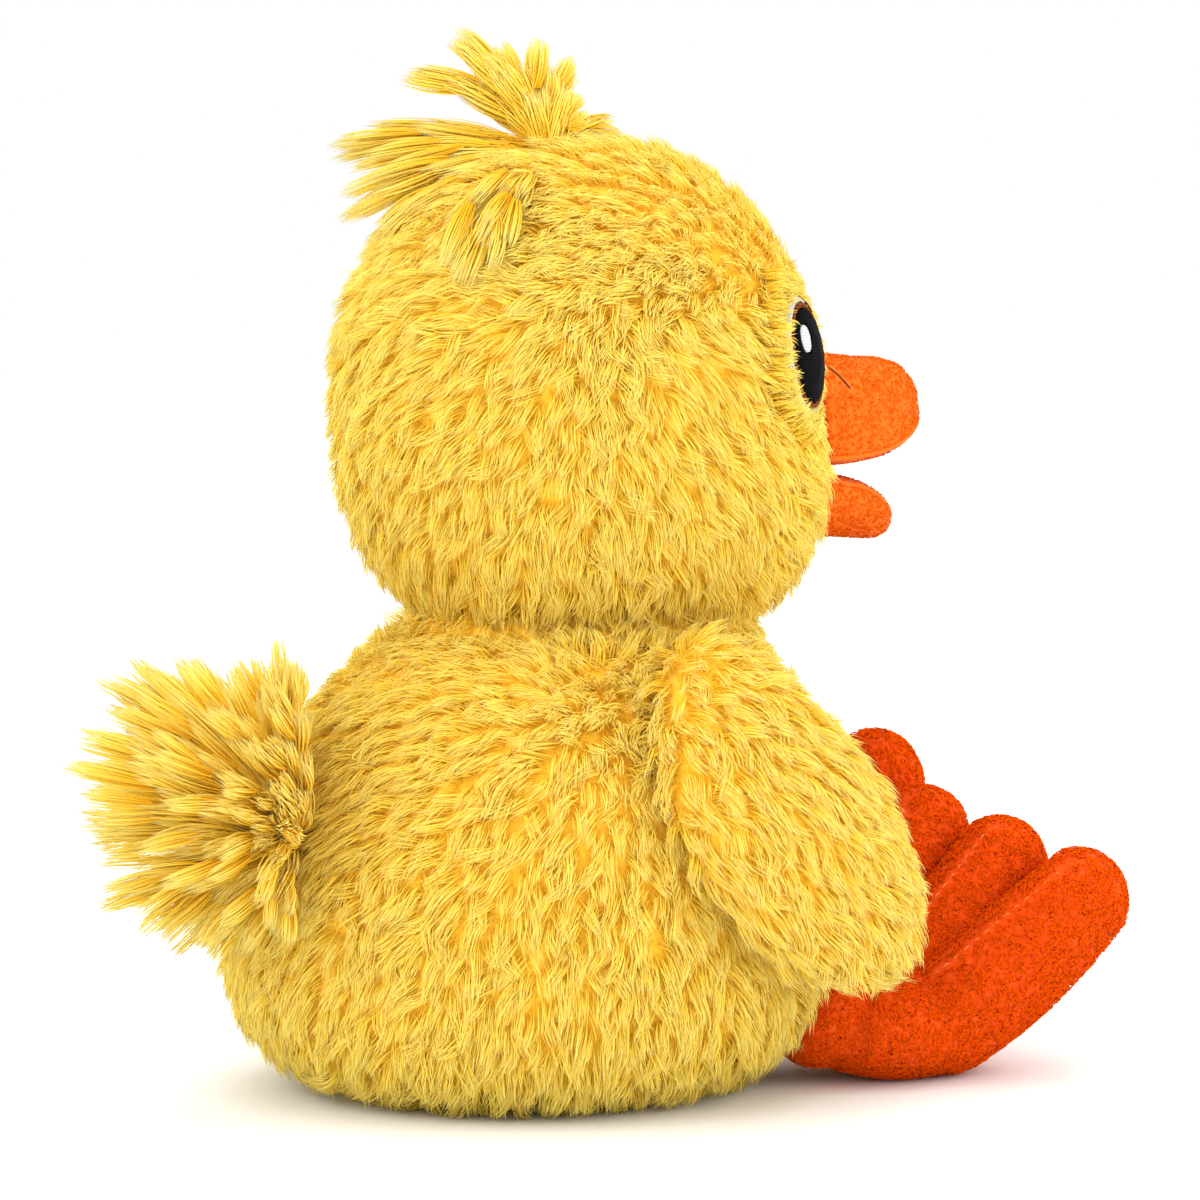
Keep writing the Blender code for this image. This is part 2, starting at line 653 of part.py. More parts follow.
def build_foot(parts, cutters, side, label, toe_in, lift):
    """An upper and a sole, sewn along the foot's edge, round a stuffed ankle on the torso."""
    place = ankle_place(side)
    ankle_body = ball(BALL_SEGMENTS, BALL_RINGS, lambda u: place + u * ANKLE_RADIUS)
    ankle = piece(f"ankle_{label}", ankle_body, parts, "fleece_orange", origin=place)
    near = piece(f"torso_cut_{label}", torso_ball(-SEAM_GAP), cutters)
    combine(ankle, "DIFFERENCE", near)

    turn = (-lift, side * FOOT_ROLL, -side * toe_in)
    foot = pivot(f"foot_pivot_{label}", place, turn, parts)
    away = piece(f"torso_room_{label}", torso_ball(-PALM_CLEARANCE), cutters)
    hollow = ANKLE_RADIUS + RUNNING_GAP
    socket_body = ball(BALL_SEGMENTS, BALL_RINGS, lambda u: place + u * hollow)
    socket = piece(f"ankle_socket_{label}", socket_body, cutters)
    toes = collection(f"toes_{label}", cutters)
    for rank, name in ((-1, "inner"), (0, "middle"), (1, "outer")):
        piece(f"toe_{name}_{label}", toe_ball(side, rank), toes, parent=foot)

    upper = piece(f"foot_upper_{label}", palm_ball(), parts, "fleece_orange", foot)
    combine(upper, "UNION", toes)
    above = piece(f"upper_cut_{label}", sole_line(-SEAM_GAP / 2), cutters, parent=foot)
    combine(upper, "INTERSECT", above)
    sole = piece(f"foot_sole_{label}", palm_ball(), parts, "fleece_orange", foot)
    combine(sole, "UNION", toes)
    below = piece(f"sole_cut_{label}", sole_line(SEAM_GAP / 2), cutters, parent=foot)
    combine(sole, "DIFFERENCE", below)
    for half in (upper, sole):
        combine(half, "DIFFERENCE", away)
        combine(half, "DIFFERENCE", socket)


def lock(root, tip, radius, bow):
    """A spindle of pile from root to tip, bowed sideways by the vector."""
    turn = (tip - root).to_track_quat("Z", "Y")

    def place(u):
        share = (u.z + 1.0) / 2
        middle = root.lerp(tip, share) + bow * 4.0 * share * (1.0 - share)
        return middle + turn @ Vector((u.x * radius, u.y * radius, 0))

    return ball(LOCK_SEGMENTS, LOCK_RINGS, place)


def build_tuft(name, root, root_radius, tips, lock_radius, bow, parts, cutters, under, parent=None):
    """Locks that spread from a root, cut to seat on what is under them."""
    locks = collection(f"{name}_locks", cutters)
    for index, tip in enumerate(tips):
        piece(f"{name}_lock_{index}", lock(root, tip, lock_radius, bow), locks, parent=parent)
    body = ball(BALL_SEGMENTS, BALL_RINGS, lambda u: root + u * root_radius)
    tuft = piece(name, body, parts, "fur_yellow", parent)
    combine(tuft, "UNION", locks)
    combine(tuft, "DIFFERENCE", under)


def build_crest(parts, cutters, head):
    level = HEAD_RISE * math.sqrt(1.0 - (CREST_BACK / HEAD_DEPTH) ** 2)
    top = head_point(math.pi, HEAD_CENTRE.z + level)
    tips = [top + Vector(shares) * CREST_REACH for shares in CREST_TIP_SHARES]
    under = piece("crest_seat", head_ball(-SEAM_GAP), cutters, parent=head)
    bow = Vector((0, 0, CREST_ARCH))
    build_tuft(
        "crest", top, CREST_ROOT_RADIUS, tips, CREST_LOCK_RADIUS, bow, parts, cutters, under, head
    )


def build_tail(parts, cutters):
    root = torso_point(math.radians(-90), TAIL_HEIGHT, 0.0)
    axis = Matrix.Rotation(TAIL_PITCH - math.radians(90), 3, "X")
    tips = []
    rings = zip(TAIL_RING_LOCKS, TAIL_RING_DEGREES, TAIL_RING_SHARES)
    for count, off_axis, reach_share in rings:
        for index in range(count):
            around = 2 * math.pi * index / count
            lean = math.radians(off_axis)
            aim = Vector(
                (math.sin(lean) * math.cos(around), math.sin(lean) * math.sin(around), math.cos(lean))
            )
            reach = TAIL_REACH * reach_share
            tips.append(root + axis @ aim * reach - Vector((0, 0, TAIL_DROOP)))
    under = piece("tail_seat", torso_ball(-SEAM_GAP), cutters)
    bow = Vector((0, 0, TAIL_DROOP))
    build_tuft("tail", root, TAIL_ROOT_RADIUS, tips, TAIL_LOCK_RADIUS, bow, parts, cutters, under)


def build():
    for old in list(bpy.data.objects):
        bpy.data.objects.remove(old, do_unlink=True)
    scene = bpy.context.scene.collection
    parts = collection("plush_duck", scene)
    cutters = collection("cutters", scene)

    build_torso(parts, cutters)
    build_neck(parts)
    head = pivot("head_pivot", (0, -NECK_LEAN, NECK_HEIGHT), (0, 0, HEAD_TURN), parts)
    build_head(parts, cutters, head)
    jaw_place = Vector((0, -MOUTH_HINGE, HEAD_CENTRE.z - MOUTH_DROP))
    build_bill(parts, cutters, head, jaw_place)
    build_crest(parts, cutters, head)
    build_tail(parts, cutters)
    for side, label in SIDES:
        build_eye(parts, cutters, head, side, label)
        build_wing(parts, side, label)
    build_foot(parts, cutters, 1, "left", LEFT_TOE_IN, LEFT_FOOT_LIFT)
    build_foot(parts, cutters, -1, "right", RIGHT_TOE_IN, 0.0)


build()
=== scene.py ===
"""Looks for the sitting plush duckling: shaggy pile, orange fleece, eyes, crest and tail."""

import json
import math

import bmesh
import bpy
import numpy as np
from mathutils import Euler, Matrix, Vector
from mathutils.bvhtree import BVHTree
from mathutils.kdtree import KDTree

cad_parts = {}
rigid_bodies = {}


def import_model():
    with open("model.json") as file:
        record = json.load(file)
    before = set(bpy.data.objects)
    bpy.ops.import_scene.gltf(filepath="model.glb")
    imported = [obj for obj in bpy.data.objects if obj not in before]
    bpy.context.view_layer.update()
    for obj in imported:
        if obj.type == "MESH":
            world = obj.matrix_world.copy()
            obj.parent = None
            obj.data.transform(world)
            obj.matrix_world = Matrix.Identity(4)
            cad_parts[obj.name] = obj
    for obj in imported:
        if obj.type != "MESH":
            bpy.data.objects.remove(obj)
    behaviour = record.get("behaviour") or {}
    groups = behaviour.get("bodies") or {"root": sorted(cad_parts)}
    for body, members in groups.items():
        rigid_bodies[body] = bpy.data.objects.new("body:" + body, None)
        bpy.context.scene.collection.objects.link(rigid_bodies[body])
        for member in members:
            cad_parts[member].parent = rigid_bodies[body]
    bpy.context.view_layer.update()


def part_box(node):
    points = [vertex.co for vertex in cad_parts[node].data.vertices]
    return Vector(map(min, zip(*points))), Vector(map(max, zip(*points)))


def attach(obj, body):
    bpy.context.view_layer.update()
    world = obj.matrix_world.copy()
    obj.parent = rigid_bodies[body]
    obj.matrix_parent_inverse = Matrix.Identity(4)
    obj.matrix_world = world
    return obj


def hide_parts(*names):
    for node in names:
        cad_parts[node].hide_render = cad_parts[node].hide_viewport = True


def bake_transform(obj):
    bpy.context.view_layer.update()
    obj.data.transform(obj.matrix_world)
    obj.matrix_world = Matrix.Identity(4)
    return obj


MM = 0.001

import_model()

# Sizes repeated from the part, in millimetres
WAIST_HEIGHT = 38.5
TORSO_RADIUS = 78.5
TORSO_TOP = 116.0
TORSO_RISE = 93.0
TORSO_DROP = 45.0
SHOULDER_POWER = 2.3
RUMP_POWER = 2.6
NECK_LEAN = 17.0
NECK_HEIGHT = 104.0
NECK_RADIUS = 45.0
HEAD_CENTRE = 74.0
HEAD_WIDTH = 65.0
HEAD_DEPTH = 64.5
HEAD_RISE = 66.5
HEAD_DROP = 68.0
CROWN_POWER = 2.1
JOWL_POWER = 2.5
CHEEK_PUSH = 6.0
CROWN_SEAM = 27.0
HEAD_TURN = math.radians(-7)
WING_LENGTH = 100.0
WING_HALF_WIDTH = 28.0
WING_BULGE = 18.0
WING_RIM = 3.6
WING_CLEARANCE = 0.4
WING_HOLD = 0.3
WING_STAND = 17.0
WING_EGG = 0.16
WING_TOP = 112.0
WING_BEARING = math.radians(-12)
WING_TILT = math.radians(42)

# Pile, in millimetres
BACKING = 4.2  # how far a panel's backing lies under the combed pile
CLOTH = 1.4  # a panel's backing cloth
SPACING = 2.95  # between tufts of the body and the head
TUFT_LENGTH = 9.6
TUFT_STRANDS = 20
TUFT_SPREAD = 2.3
LOWEST = 0.3  # how far the lowest strands stay off the floor
STRANDS_A_PIECE = 12000
SOFT = 0.32  # how far a strand's normals lean out of the pile
SEAT_LINE = 3.4  # how high the seat panel's seam lies
# Where the combed pile parts on each side, in the part's frame and from the neck's centre
SHOULDER_WHORL = (55.0, 6.0, 112.0)
CHEEK_WHORL = (55.0, 22.0, HEAD_CENTRE + 30.0)
WHORL_REACH = 15.0  # how far round it the pile stands up
WHORL_EYE = 11.0  # how far round it the pile has no direction yet
MIDDLE = 18.0  # how far from the middle the two sides' pile meets
DOWN = np.array([0, 0, -1.0])


def rows(x, y, z):
    """Points or directions from their three parts, some of which may be a single number."""
    return np.stack(np.broadcast_arrays(x, y, z), 1)


def rounded(value, power):
    return np.sign(value) * np.abs(value) ** (2.0 / power)


def flared(u, power):
    level = np.hypot(u[:, 0], u[:, 1])
    spread = np.where(level > 1e-9, level ** (2.0 / power) / np.maximum(level, 1e-9), 1.0)
    return u[:, 0] * spread, u[:, 1] * spread


def torso_lean(height):
    share = np.maximum(0.0, (height - WAIST_HEIGHT) / (TORSO_TOP - WAIST_HEIGHT))
    return NECK_LEAN * share**2


def torso_form(above):
    """The power and the reach of the torso's upper or lower half."""
    return np.where(above, SHOULDER_POWER, RUMP_POWER), np.where(above, TORSO_RISE, TORSO_DROP)


def torso(u, inset=0.0):
    power, reach = torso_form(u[:, 2] > 0)
    across, along = flared(u, power)
    height = WAIST_HEIGHT + rounded(u[:, 2], power) * (reach - inset)
    girth = TORSO_RADIUS - inset
    height = np.maximum(height, inset * 0.5)
    return rows(across * girth, along * girth - torso_lean(height), height)


def torso_girth(height):
    power, reach = torso_form(height > WAIST_HEIGHT)
    share = np.minimum(np.abs(height - WAIST_HEIGHT) / reach, 0.9999)
    return TORSO_RADIUS * (1.0 - share**power) ** (1.0 / power)


def torso_point(bearing, height, off):
    girth = torso_girth(height)
    slope = (torso_girth(height + 0.1) - torso_girth(height - 0.1)) / 0.2
    out = 1.0 / np.hypot(1.0, slope)
    reach = girth + off * out
    along = -reach * np.sin(bearing) - torso_lean(height)
    return rows(reach * np.cos(bearing), along, height - off * slope * out)


HEAD_FRAME = Matrix.Translation((0, -NECK_LEAN, NECK_HEIGHT)) @ Matrix.Rotation(HEAD_TURN, 4, "Z")
HEAD_SPIN = np.array(HEAD_FRAME.to_3x3())
HEAD_SHIFT = np.array(HEAD_FRAME.translation)


def from_head(points):
    """Points seen from the neck's centre, in the part's frame."""
    return points @ HEAD_SPIN.T + HEAD_SHIFT


def to_head(points):
    """The part's points seen from the neck's centre."""
    return (points - HEAD_SHIFT) @ HEAD_SPIN


def head(u, inset=0.0):
    above = u[:, 2] > 0
    power = np.where(above, CROWN_POWER, JOWL_POWER)
    reach = np.where(above, HEAD_RISE, HEAD_DROP)
    across, along = flared(u, power)
    cheek = np.maximum(0.0, -u[:, 1]) * np.maximum(0.0, -u[:, 2]) * 2.0
    across, along = across * (HEAD_WIDTH - inset), along * (HEAD_DEPTH - inset)
    height = HEAD_CENTRE + rounded(u[:, 2], power) * (reach - inset)
    return from_head(rows(across, along - CHEEK_PUSH * cheek, height))


def wing(side):
    def place(u, inset=0.0):
        half = WING_LENGTH / 2 - inset
        wide = u[:, 0] * (WING_HALF_WIDTH - inset) * (1.0 + WING_EGG * u[:, 1])
        down = WING_LENGTH / 2 + u[:, 1] * half
        depth = np.where(u[:, 2] > 0, WING_BULGE, WING_RIM - WING_CLEARANCE)
        depth = depth - inset * np.abs(u[:, 2])
        free = np.maximum(0.0, down / WING_LENGTH - WING_HOLD) / (1.0 - WING_HOLD)
        off = WING_RIM + WING_STAND * free**2 + u[:, 2] * depth
        forward = wide * math.cos(WING_TILT) + down * math.sin(WING_TILT)
        drop = down * math.cos(WING_TILT) - wide * math.sin(WING_TILT)
        bearing = WING_BEARING + forward / TORSO_RADIUS
        points = torso_point(bearing, WING_TOP - drop, off)
        points[:, 0] *= side
        return points

    return place


def unit(v):
    return v / np.maximum(np.linalg.norm(v, axis=-1, keepdims=True), 1e-12)


def nearness(apart, reach):
    """1 at no distance, which falls off smoothly past a reach."""
    return np.exp(-((np.linalg.norm(apart, axis=1) / reach) ** 2))


def eased(share):
    """A share from 0 to 1 that starts and ends gently."""
    return share * share * (3.0 - 2.0 * share)


def mirrored(points, place):
    """A place on the left, or its mirror image for points on the right."""
    places = np.tile(np.array(place, float), (len(points), 1))
    places[:, 0] *= np.where(points[:, 0] > 0, 1.0, -1.0)
    return places


def by_place(points, place, reach):
    """Whether points lie round a place or its mirror image."""
    return np.abs(np.abs(points * [1, 0, 0]) + points * [0, 1, 1] - place).sum(1) < reach


def grid(across, up):
    """Unit points and quads of a sphere that closes at its poles."""
    theta = np.linspace(0, math.pi, up + 1)[1:-1]
    phi = np.linspace(0, 2 * math.pi, across, endpoint=False)
    t, p = np.meshgrid(theta, phi, indexing="ij")
    body = np.stack([np.sin(t) * np.cos(p), np.sin(t) * np.sin(p), np.cos(t)], -1).reshape(-1, 3)
    points = np.concatenate([body, [[0, 0, 1.0], [0, 0, -1.0]]])
    top, bottom = len(body), len(body) + 1
    faces = []
    for row in range(up - 2):
        for col in range(across):
            a = row * across + col
            b = row * across + (col + 1) % across
            faces.append((a, a + across, b + across, b))
    last = (up - 2) * across
    for col in range(across):
        faces.append((top, col, (col + 1) % across))
        faces.append((bottom, last + (col + 1) % across, last + col))
    return points, faces


# Materials


def nodes_of(name, rough, sheen=0.0, specular=0.3):
    made = bpy.data.materials.new(name)
    made.use_nodes = True
    tree = made.node_tree
    shader = tree.nodes["Principled BSDF"]
    shader.inputs["Roughness"].default_value = rough
    shader.inputs["Sheen Weight"].default_value = sheen
    shader.inputs["Sheen Tint"].default_value = (1, 1, 1, 1)
    shader.inputs["Sheen Roughness"].default_value = 0.4
    shader.inputs["Specular IOR Level"].default_value = specular
    return made, tree, shader


def add(tree, kind, **values):
    """A shader node, with some of its inputs set."""
    node = tree.nodes.new(f"ShaderNode{kind}")
    for name, value in values.items():
        node.inputs[name].default_value = value
    return node


def ramp(tree, fac, stops):
    node = add(tree, "ValToRGB")
    elements = node.color_ramp.elements
    while len(elements) < len(stops):
        elements.new(0.5)
    for element, (at, colour) in zip(elements, stops):
        element.position = at
        element.color = (*colour, 1.0)
    tree.links.new(fac, node.inputs["Fac"])
    return node.outputs["Color"]


def textured(tree, shader, texture, stops, strength, distance):
    """Colour and bump from a texture in the object's own space."""
    coords = add(tree, "TexCoord")
    tree.links.new(coords.outputs["Object"], texture.inputs["Vector"])
    fac = texture.outputs["Fac"]
    tree.links.new(ramp(tree, fac, stops), shader.inputs["Base Color"])
    raised = add(tree, "Bump", Strength=strength, Distance=distance)
    tree.links.new(fac, raised.inputs["Height"])
    tree.links.new(raised.outputs["Normal"], shader.inputs["Normal"])


def pile(name, stops, shifts, specular=0.15):
    """Long pile: colour runs from root to tip, the deeper colour at the root partly painted shade
    of the pile's depths, and each fibre has its own tone.
    """
    made, tree, shader = nodes_of(name, 0.9, specular=specular)
    uv = add(tree, "UVMap")
    uv.uv_map = "OFBake"
    apart = add(tree, "SeparateXYZ")
    tree.links.new(uv.outputs["UV"], apart.inputs["Vector"])
    shaded = add(tree, "Mix")
    shaded.data_type = "RGBA"
    shaded.blend_type = "MULTIPLY"
    shaded.inputs[0].default_value = 1.0
    tree.links.new(ramp(tree, apart.outputs["Y"], stops), shaded.inputs[6])
    tree.links.new(ramp(tree, apart.outputs["X"], shifts), shaded.inputs[7])
    tree.links.new(shaded.outputs[2], shader.inputs["Base Color"])
    return made


def cloth(name, colours, scale, strength, rough=0.9, sheen=0.3):
    """Woven or felted cloth, with a fine grain."""
    made, tree, shader = nodes_of(name, rough, sheen)
    grain = add(tree, "TexNoise", Scale=scale, Detail=3.0, Roughness=0.6)
    textured(tree, shader, grain, ((0.35, colours[0]), (0.65, colours[1])), strength, 0.0005)
    return made


# From root to tip: the deeper orange at the root is partly the pile's own colour and partly painted
# shade of the pile's depths.
FUR_STOPS = (
    (0.0, (1.0, 0.60, 0.03)),
    (0.35, (1.0, 0.71, 0.075)),
    (0.7, (1.0, 0.80, 0.16)),
    (1.0, (1.0, 0.87, 0.29)),
)
WING_STOPS = (
    (0.0, (1.0, 0.58, 0.025)),
    (0.35, (1.0, 0.69, 0.065)),
    (0.7, (1.0, 0.78, 0.16)),
    (1.0, (1.0, 0.85, 0.33)),
)
SHIFTS = ((0.0, (1.0, 0.93, 0.75)), (0.5, (1.0, 0.98, 0.94)), (1.0, (1.0, 1.0, 1.0)))

backing_cloth = cloth("backing_cloth", ((1.0, 0.56, 0.03), (1.0, 0.64, 0.05)), 900.0, 0.4)

# Each stuff is a material with the slot that it belongs to
fur_yellow = pile("fur_yellow", FUR_STOPS, SHIFTS), "fur_yellow"
fur_pale = pile("fur_pale", WING_STOPS, SHIFTS), "fur_pale"
fibre_cloth = (
    cloth("fibrefill", ((0.76, 0.76, 0.74), (0.88, 0.88, 0.86)), 500.0, 0.8), "fibrefill"
)
pouch_cloth = (
    cloth("pouch_cloth", ((0.50, 0.48, 0.43), (0.64, 0.62, 0.57)), 1500.0, 0.5), "pouch_cloth"
)


# Meshes


def placed(name, data):
    """A new object in the scene."""
    thing = bpy.data.objects.new(name, data)
    bpy.context.scene.collection.objects.link(thing)
    return thing


def link(name, mesh, stuff, body):
    """A visible piece of one stuff that rides on a body; given two bodies, it is left unattached
    where it is made.
    """
    material, slot = stuff
    thing = placed(name, mesh)
    mesh.materials.append(material)
    if isinstance(body, str):
        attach(thing, body)
    else:
        near, far, start, end = body
        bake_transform(thing)
        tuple(start)
        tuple(end)
    return thing


def plain_mesh(name, points, faces):
    mesh = bpy.data.meshes.new(name)
    mesh.from_pydata([tuple(p) for p in points * MM], [], faces)
    mesh.update()
    mesh.shade_smooth()
    return mesh


def strand_pattern(count):
    """Corner indices and face starts of one closed three-sided strand with count path points."""
    corners, starts = [0, 2, 1], [0]
    for ring in range(count - 2):
        for side in range(3):
            a, b = ring * 3 + side, ring * 3 + (side + 1) % 3
            starts.append(len(corners))
            corners += [a, b, b + 3, a + 3]
    tip, base = (count - 1) * 3, (count - 2) * 3
    for side in range(3):
        starts.append(len(corners))
        corners += [base + side, base + (side + 1) % 3, tip]
    return np.array(corners), np.array(starts)


def strands(label, paths, radii, shade, outs, stuff, body, rng, soft=SOFT):
    """Closed strands along paths of points, split into pieces of a size that keeps its faces.

    Light scatters in pile, so a strand's normals lean towards the way out of the pile.
    """
    made = []
    for index, first in enumerate(range(0, len(paths), STRANDS_A_PIECE)):
        part = slice(first, first + STRANDS_A_PIECE)
        path, radius, tone, away = paths[part].copy(), radii[part], shade[part], outs[part]
        path[..., 2] = np.maximum(path[..., 2], radius + LOWEST)
        total, count, _ = path.shape
        tangent = unit(np.gradient(path, axis=1))
        rough = unit(rng.normal(size=(total, 1, 3)))
        side = unit(np.cross(tangent, rough))
        up = np.cross(tangent, side)
        rings, facings = [], []
        for turn in range(3):
            angle = 2 * math.pi * turn / 3
            ring = math.cos(angle) * side[:, :-1] + math.sin(angle) * up[:, :-1]
            rings.append(path[:, :-1] + ring * radius[:, :-1, None])
            facings.append(unit(ring * (1.0 - soft) + away[:, None] * soft))
        body_points = np.stack(rings, 2).reshape(total, -1, 3)
        points = np.concatenate([body_points, path[:, -1:, :]], 1)
        normals = np.stack(facings, 2).reshape(total, -1, 3)
        normals = np.concatenate([normals, unit(tangent[:, -1:] * 0.3 + away[:, None])], 1)
        size = points.shape[1]
        corners, starts = strand_pattern(count)
        offsets = np.arange(total)[:, None]
        all_corners = (corners[None] + offsets * size).ravel()
        all_starts = (starts[None] + offsets * len(corners)).ravel()
        level = np.concatenate([np.repeat(np.arange(count - 1), 3), [count - 1]]) / (count - 1)
        turn_uv = np.concatenate([np.tile(np.arange(3), count - 1), [1]]) * 0.004
        u = tone[:, None] * 0.98 + turn_uv[corners][None]
        v = np.broadcast_to(level[corners][None], u.shape) * 0.996 + 0.002
        uv = np.stack([u, v], -1)
        name = f"{label}_{index}"
        mesh = bpy.data.meshes.new(name)
        mesh.vertices.add(total * size)
        mesh.vertices.foreach_set("co", (points * MM).astype(np.float32).ravel())
        mesh.loops.add(len(all_corners))
        mesh.loops.foreach_set("vertex_index", all_corners.astype(np.int32))
        mesh.polygons.add(len(all_starts))
        mesh.polygons.foreach_set("loop_start", all_starts.astype(np.int32))
        layer = mesh.uv_layers.new(name="OFBake")
        layer.uv.foreach_set("vector", uv.astype(np.float32).ravel())
        mesh.update(calc_edges=True)
        mesh.shade_smooth()
        mesh.normals_split_custom_set_from_vertices(normals.reshape(-1, 3).astype(np.float32))
        made.append(link(name, mesh, stuff, body))
    return made


def surface(place, inset):
    """Points, normals and triangles of a mapped ball."""
    points, faces = grid(160, 100)
    at = place(points, inset)
    quads = np.array([face if len(face) == 4 else (*face, face[2]) for face in faces])
    triangles = np.concatenate([quads[:, [0, 1, 2]], quads[:, [0, 2, 3]]])
    a, b, c = (at[triangles[:, k]] for k in range(3))
    cross = np.cross(b - a, c - a)
    normal = np.zeros_like(at)
    for k in range(3):
        np.add.at(normal, triangles[:, k], cross)
    normal = unit(normal)
    if np.mean(np.sum(normal * (at - at.mean(0)), 1)) < 0:
        normal = -normal
    return at, normal, triangles


def sampled(at, normal, triangles, spacing, rng, crowd=1):
    """Random points on a mesh and their normals, crowd of them to a square of the spacing."""
    a, b, c = (at[triangles[:, k]] for k in range(3))
    area = np.linalg.norm(np.cross(b - a, c - a), axis=1) / 2
    total = int(area.sum() / spacing**2 * crowd)
    chosen = rng.choice(len(triangles), total, p=area / area.sum())
    u, v = rng.random(total), rng.random(total)
    flip = u + v > 1
    u[flip], v[flip] = 1 - u[flip], 1 - v[flip]
    weights = np.stack([1 - u - v, u, v], 1)[..., None]
    corner = triangles[chosen]
    return (at[corner] * weights).sum(1), unit((normal[corner] * weights).sum(1))


def scatter(place, spacing, rng, inset, keep, crowd=7):
    """Evenly spaced random roots on a mapped ball, with their normals."""
    point, out = sampled(*surface(place, inset), spacing, rng, crowd)
    kept = keep(point, out)
    point, out = point[kept], out[kept]
    tree = KDTree(len(point))
    for index, p in enumerate(point):
        tree.insert(p, index)
    tree.balance()
    alive = np.ones(len(point), bool)
    result = []
    for index in range(len(point)):
        if not alive[index]:
            continue
        result.append(index)
        for _, other, _ in tree.find_range(point[index], spacing):
            alive[other] = False
    return point[result], out[result]


def disc(total, count, spread, rng):
    """Random places on discs: how far out they are, and their two parts."""
    angle = rng.random((total, count, 1)) * 2 * math.pi
    reach = np.sqrt(rng.random((total, count, 1))) * spread
    return reach, reach * np.cos(angle), reach * np.sin(angle)


def bent(first, middle, last, t):
    """Places t along curves from first to last that middle draws aside."""
    return first * (1 - t) ** 2 + middle * 2 * t * (1 - t) + last * t**2


def fibres(total, count, width, profile, alike, rng):
    """Radii along the fibres of tufts, and shades that are partly alike in a tuft."""
    radii = rng.uniform(0.8, 1.25, (total * count, 1)) * width * np.array(profile)[None]
    shade = rng.random((total, 1)) * alike + rng.random((total, count)) * (1.0 - alike)
    return radii, shade.ravel()


TIP_SHARE = 0.8  # how wide a tuft's tip is of its foot
STRAY = 21.0  # how far tufts turn off the combing, in degrees
KNEE = 0.66  # how much of its height a fibre has gained halfway


def clumps(root, out, flow, rng, length, lean, count, spread, width=0.13):
    """Paths, radii and shades of tufts that start spread out and close up along the flow."""
    total = len(root)
    flow = unit(flow - out * np.sum(flow * out, 1, keepdims=True))
    across = np.cross(out, flow)
    twist = np.radians(rng.normal(0, STRAY, total))[:, None]
    aim = flow * np.cos(twist) + across * np.sin(twist)
    aside = np.cross(out, aim)
    lift = np.radians(np.clip(rng.normal(lean, 6.0, total), 12, 80))[:, None]
    curl = aside * rng.normal(0, 1.5, (total, 1))
    size = (length * rng.uniform(0.85, 1.12, total))[:, None]
    tip = root + aim * size * np.cos(lift) + out * size * np.sin(lift)
    reach, x, y = disc(total, count, spread, rng)
    base = root[:, None] + aim[:, None] * x + aside[:, None] * y
    jitter = rng.normal(0, 0.42, (total, count, 3))
    slide = rng.uniform(-0.22, 0.06, reach.shape) - 0.10 * (reach / spread) ** 2
    end = (
        tip[:, None]
        + aim[:, None] * x * TIP_SHARE
        + aside[:, None] * y * TIP_SHARE
        + (tip - root)[:, None] * slide
        + jitter
    )
    height = np.sum((end - base) * out[:, None], -1, keepdims=True)
    knee = base + out[:, None] * height * KNEE + (end - base) * 0.22 + curl[:, None]
    knee = knee + rng.normal(0, 0.25, knee.shape)
    t = np.array([0.0, 0.4, 0.75, 1.0])[:, None]
    paths = bent(base[:, :, None], knee[:, :, None], end[:, :, None], t).reshape(-1, 4, 3)
    radii, shade = fibres(total, count, width, (0.9, 1.0, 0.75, 0.0), 0.55, rng)
    return paths, radii, shade, np.repeat(unit(out + aim * 0.25), count, 0)


def panel(name, place, cuts, body, replaced, thickness=CLOTH, inset=BACKING, slot="fur_yellow"):
    """A panel's backing cloth: an open stretch of a ball, doubled inwards and closed at its rim."""
    made = bmesh.new()
    bmesh.ops.create_uvsphere(made, u_segments=96, v_segments=48, radius=1.0)
    for point, away in cuts:
        bmesh.ops.bisect_plane(
            made,
            geom=made.verts[:] + made.edges[:] + made.faces[:],
            plane_co=point,
            plane_no=away,
            clear_outer=True,
        )
    doubled = bmesh.ops.extrude_face_region(made, geom=made.faces[:], use_keep_orig=True)
    inside = {part for part in doubled["geom"] if isinstance(part, bmesh.types.BMVert)}
    verts = list(made.verts)
    u = np.array([v.co for v in verts])
    shell, core = place(u, inset), place(u, inset + thickness)
    for vertex, a, b in zip(verts, shell, core):
        vertex.co = Vector(b if vertex in inside else a) * MM
    bmesh.ops.recalc_face_normals(made, faces=made.faces)
    mesh = bpy.data.meshes.new(name)
    made.to_mesh(mesh)
    made.free()
    mesh.shade_smooth()
    thing = link(name, mesh, (backing_cloth, slot), body)
    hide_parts(*replaced)


def lump(name, place, stuff, body, replaced, inset=0.0):
    """A closed smooth ball mapped to a place."""
    points, faces = grid(48, 28)
    thing = link(name, plain_mesh(name, place(points, inset), faces), stuff, body)
    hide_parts(*replaced)


# Camera, floor and light

AZIMUTH, ELEVATION = math.radians(235), math.radians(4)
DISTANCE, SPAN = 1150.0, 312.0
AIM_RIGHT, AIM_UP = 19.0, 125.0  # where the picture's middle lies
LIT = Vector((0, 0, 0.13))  # where the lamps point, in metres
LEVEL = math.cos(ELEVATION)
BACK = Vector((math.sin(AZIMUTH) * LEVEL, -math.cos(AZIMUTH) * LEVEL, math.sin(ELEVATION)))
look = BACK.to_track_quat("Z", "Y")
RIGHT = look @ Vector((1, 0, 0))
UP = look @ Vector((0, 1, 0))
target = (RIGHT * AIM_RIGHT + UP * AIM_UP) * MM
camera = placed("camera", bpy.data.cameras.new("camera"))
camera.location = target + BACK * DISTANCE * MM
camera.rotation_euler = look.to_euler()
camera.data.angle = 2 * math.atan(SPAN / 2 / DISTANCE)
camera.data.clip_start = 0.01
bpy.context.scene.camera = camera
bpy.context.scene.view_settings.view_transform = "Standard"


